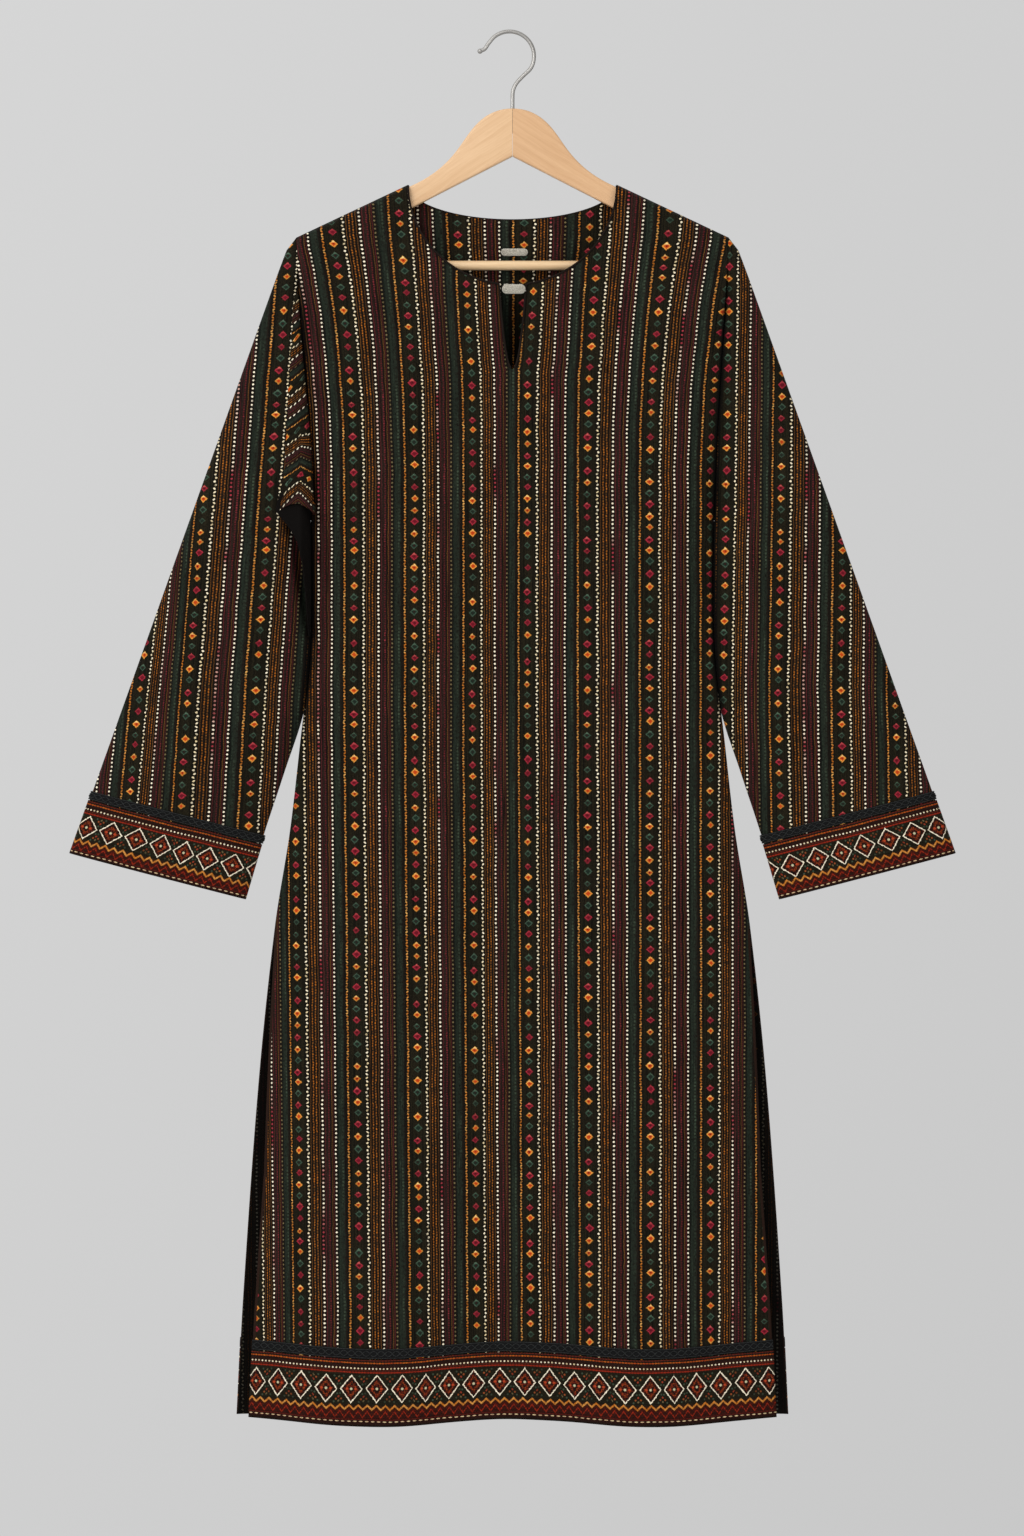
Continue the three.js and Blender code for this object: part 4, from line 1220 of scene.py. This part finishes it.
def pill(low, high, depth, seed, pitch=1.5, bead=0.95):
    """A rounded pad covered with small stitches; low and high are its corners."""
    rng = np.random.default_rng(seed)
    centre = (low + high) / 2
    half = (high - low) / 2
    polar = np.linspace(-pi / 2, pi / 2, 9)
    around = np.arange(40) * 2 * pi / 40
    corner = half[2]
    straight = half[0] - corner
    ring_x = np.cos(around) * corner + np.sign(np.cos(around)) * straight
    ring_z = np.sin(around) * corner
    shape = np.cos(polar) ** 0.5
    points = np.stack(np.broadcast_arrays(ring_x[None] * shape[:, None],
                                          depth * np.sin(polar)[:, None] + 0 * ring_x,
                                          ring_z[None] * shape[:, None]), -1)
    parts = [((points + centre).reshape(-1, 3), grid_faces(9, 40, closed=True))]
    for px in np.arange(-half[0], half[0] + 0.1, pitch):
        for pz in np.arange(-half[2], half[2] + 0.1, pitch):
            reach = np.hypot(max(0, abs(px) - straight), pz) / corner
            if reach > 0.97:
                continue
            jitter = rng.normal(0, 0.22, 3)
            front = -depth * (1 - reach ** 2.4) ** 0.5
            place = centre + np.array([px, front, pz]) + jitter
            size = bead * rng.uniform(0.75, 1.2)
            radii = np.array([size * 1.25, size * 0.7, size * 0.62])
            parts.append(ball(place, radii, turn=rng.uniform(-0.7, 0.7)))
    return joined(parts)


def corners(node):
    low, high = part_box(node)
    return np.array(low) / MM, np.array(high) / MM


def closure_and_tag():
    low, high = corners("neck_closure_bar")
    low, high = low + [1.0, 0, 0], high - [1.0, 0, 0]
    bar = new_object("closure_pad", *pill(low, high, 1.9, 3))
    bar.data.materials.append(SILVER)
    place_piece(bar, "neck_closure_bar")
    low, high = corners("back_neck_tag")
    tag = new_object("back_neck_patch", *pill(low, high, 0.9, 5, bead=0.8))
    tag.data.materials.append(SILVER)
    place_piece(tag, "back_neck_tag")


closure_and_tag()


# ---------------------------------------------------------------- hanger
WOOD = 11
WOOD_TOP_Z = -75.3
WOOD_APEX_Z = -123.1
WOOD_BELOW_CLOTH = 2.9
UNDERSIDE_SLOPE = 0.513
BOSS = {"inner": 184.5, "outer": 205, "bottom": -241}
BAR_Z = -232
BAR_RADIUS = 4.8
WIRE_RADIUS = 2.0
HOOK_RADIUS = 24.5             # of the wire's middle line round the curve
HOOK_CENTRE_X = -3


def bezier(a, b, c, d, count):
    t = np.linspace(0, 1, count)[:, None]
    a, b, c, d = (np.array(p, float) for p in (a, b, c, d))
    return (1 - t) ** 3 * a + 3 * (1 - t) ** 2 * t * b + 3 * (1 - t) * t ** 2 * c + t ** 3 * d


def wood_top(x):
    return NECK_Z - (x - NECK_HALF) * SHOULDER_SLOPE - WOOD_BELOW_CLOTH


def wood_outline():
    """The right arm's outline, from the top of the seam out to the tip and back underneath."""
    crown = bezier((SEAM / 2, WOOD_TOP_Z), (25, WOOD_TOP_Z), (38, -92), (46.5, -104.3), 16)
    throat = bezier((46.5, -104.3), (56, -118), (68, -138), (102, wood_top(102)), 16)
    tip = bezier((192, wood_top(192)), (200, wood_top(200)), (205, -206), (205, -214), 6)
    rest = np.array([[205, BOSS["bottom"]], [BOSS["inner"], BOSS["bottom"]],
                     [BOSS["inner"], WOOD_APEX_Z - UNDERSIDE_SLOPE * BOSS["inner"]], [SEAM / 2, WOOD_APEX_Z]])
    return np.concatenate([crown, throat[1:], tip, rest])


def hanger_arm(word, side, material):
    outline = wood_outline()
    points = np.array([[side * x, 0, z] for x, z in outline])
    face = list(range(len(outline)))
    obj = new_object("hanger_wood_" + word, points, [face[::-1] if side < 0 else face], smooth_faces=False)
    thick = obj.modifiers.new("thickness", "SOLIDIFY")
    thick.thickness = WOOD * MM
    thick.offset = 0
    apply_modifiers(obj)
    spots = [v.co / MM for v in obj.data.vertices]
    rounded = [spots[a].y * spots[b].y > 0 and max(abs(spots[a].x), abs(spots[b].x)) > 1
               for a, b in (edge.vertices for edge in obj.data.edges)]
    weights = obj.data.attributes.new("bevel_weight_edge", "FLOAT", "EDGE")
    weights.data.foreach_set("value", np.array(rounded, np.float32))
    round_off = obj.modifiers.new("edges", "BEVEL")
    round_off.width = 2.2 * MM
    round_off.segments = 4
    round_off.limit_method = "WEIGHT"
    apply_modifiers(obj)
    obj.data.polygons.foreach_set("use_smooth", [True] * len(obj.data.polygons))
    obj.data.set_sharp_from_angle(angle=radians(40))
    obj.data.materials.append(material)
    return place_piece(obj, "hanger_arm_" + word)


def hanger():
    arms = [hanger_arm("left", -1, WOOD_LEFT), hanger_arm("right", 1, WOOD_RIGHT)]
    low, high = corners("trouser_bar")
    ends = np.array([0, 0.4, 1.4])
    xs = np.concatenate([low[0] + ends, np.linspace(low[0] + 4, high[0] - 4, 40), high[0] - ends[::-1]])
    radius = np.full(len(xs), BAR_RADIUS)
    radius[[0, -1]] -= 1.2
    radius[[1, -2]] -= 0.4
    bar = new_object("trouser_rod", *tube([[x, 0, BAR_Z] for x in xs], radius, 40))
    bar.data.materials.append(WOOD_BAR)
    bar.data.set_sharp_from_angle(angle=radians(60))
    place_piece(bar, "trouser_bar")
    return arms


def hook_points():
    """The hook's line: up the shank, out, round the curve and out again at the tip."""
    points = [[0, -100], [0, -88], [0, -76], [0, -66], [0.5, -57.5], [3.6, -50.2], [9.6, -43.4]]
    for turn in np.linspace(-30, 150, 9):
        angle = radians(turn)
        across = HOOK_CENTRE_X + HOOK_RADIUS * cos(angle)
        points.append([across, WIRE_RADIUS - HOOK_RADIUS * (1 - sin(angle))])
    points += [[-27.8, -15.4], [-32.5, -17.7]]
    return np.array([[x, 0, z] for x, z in points], float)


def smooth_path(points, count):
    """A Catmull-Rom curve through the points."""
    p = np.concatenate([2 * points[:1] - points[1:2], points, 2 * points[-1:] - points[-2:-1]])
    out = []
    for t in np.linspace(0, len(points) - 1.0001, count):
        i = int(t)
        s = t - i
        a, b, c, d = p[i:i + 4]
        out.append(0.5 * (2 * b + (c - a) * s + (2 * a - 5 * b + 4 * c - d) * s ** 2
                          + (3 * b - a - 3 * c + d) * s ** 3))
    return np.array(out)


def hook():
    path = smooth_path(hook_points(), 150)
    wire = tube(path, WIRE_RADIUS, 20)
    tip = ball(path[-1], np.array([2.6, 2.6, 2.6]), 13, 20)
    obj = new_object("hook_wire", *joined([wire, tip]))
    obj.data.materials.append(STEEL)
    place_piece(obj, "hook")


ARMS = hanger()
hook()


# ---------------------------------------------------------------- stage, light and camera
MIDDLE_Z = -0.7345
DISTANCE = 6.0
VIEW_HEIGHT = 1.536            # of what the frame shows at the garment, in metres
SENSOR = 36


def floor():
    """A pale floor below the frame, which throws a little light up."""
    half, height = 2500.0, -1900.0
    points = [[-half, -half, height], [half, -half, height], [half, half, height], [-half, half, height]]
    obj = new_object("studio_floor", points, [[0, 1, 2, 3]])
    paint = Paint("floor_paint")
    x, y, _ = paint.place()
    cloud = paint.noise(x * 0.0012, y * 0.0012, 0.0)
    paint.colour = paint.blend(srgb(196, 197, 198), srgb(206, 207, 208), cloud)
    obj.data.materials.append(paint.finish(0.9, relief=0.0))


def area_light(name, place, aim, size, power):
    light = bpy.data.lights.new(name, "AREA")
    light.shape = "RECTANGLE"
    light.size, light.size_y = size
    light.energy = power
    obj = bpy.data.objects.new(name, light)
    obj.location = place
    obj.rotation_euler = (Vector(aim) - Vector(place)).to_track_quat("-Z", "Y").to_euler()
    bpy.context.scene.collection.objects.link(obj)


def studio_world():
    """An even grey all round, a little lighter up and to the left."""
    world = bpy.data.worlds.new("studio")
    world.use_nodes = True
    tree = world.node_tree
    way = tree.nodes.new("ShaderNodeTexCoord")
    parts = tree.nodes.new("ShaderNodeSeparateXYZ")
    tree.links.new(way.outputs["Generated"], parts.inputs[0])
    x, _, z = (Field(tree, parts.outputs[i]) for i in range(3))
    grey = clamp(x * -0.26 + z * 0.18 + 0.625).most(0.25)
    colour = tree.nodes.new("ShaderNodeCombineXYZ")
    for socket in colour.inputs:
        put(tree, socket, grey)
    tree.links.new(colour.outputs[0], tree.nodes["Background"].inputs["Color"])
    bpy.context.scene.world = world


def lights():
    studio_world()
    area_light("key", (-2.6, -4.4, 0.9), (0, 0, -0.8), (2.4, 2.4), 92)
    area_light("fill", (3.2, -4.2, -1.0), (0, 0, -1.0), (2.6, 2.6), 48)
    area_light("top", (-1.2, -2.4, 2.6), (0, 0, -0.6), (2.6, 1.6), 16)


def camera():
    bpy.context.scene.view_settings.view_transform = "Standard"
    data = bpy.data.cameras.new("camera")
    data.sensor_fit = "AUTO"
    data.lens = SENSOR * DISTANCE / VIEW_HEIGHT
    data.clip_end = 50
    obj = bpy.data.objects.new("camera", data)
    obj.location = (-0.0005, -DISTANCE, MIDDLE_Z)
    obj.rotation_euler = (pi / 2, 0, 0)
    bpy.context.scene.collection.objects.link(obj)
    bpy.context.scene.camera = obj


floor()
lights()
camera()
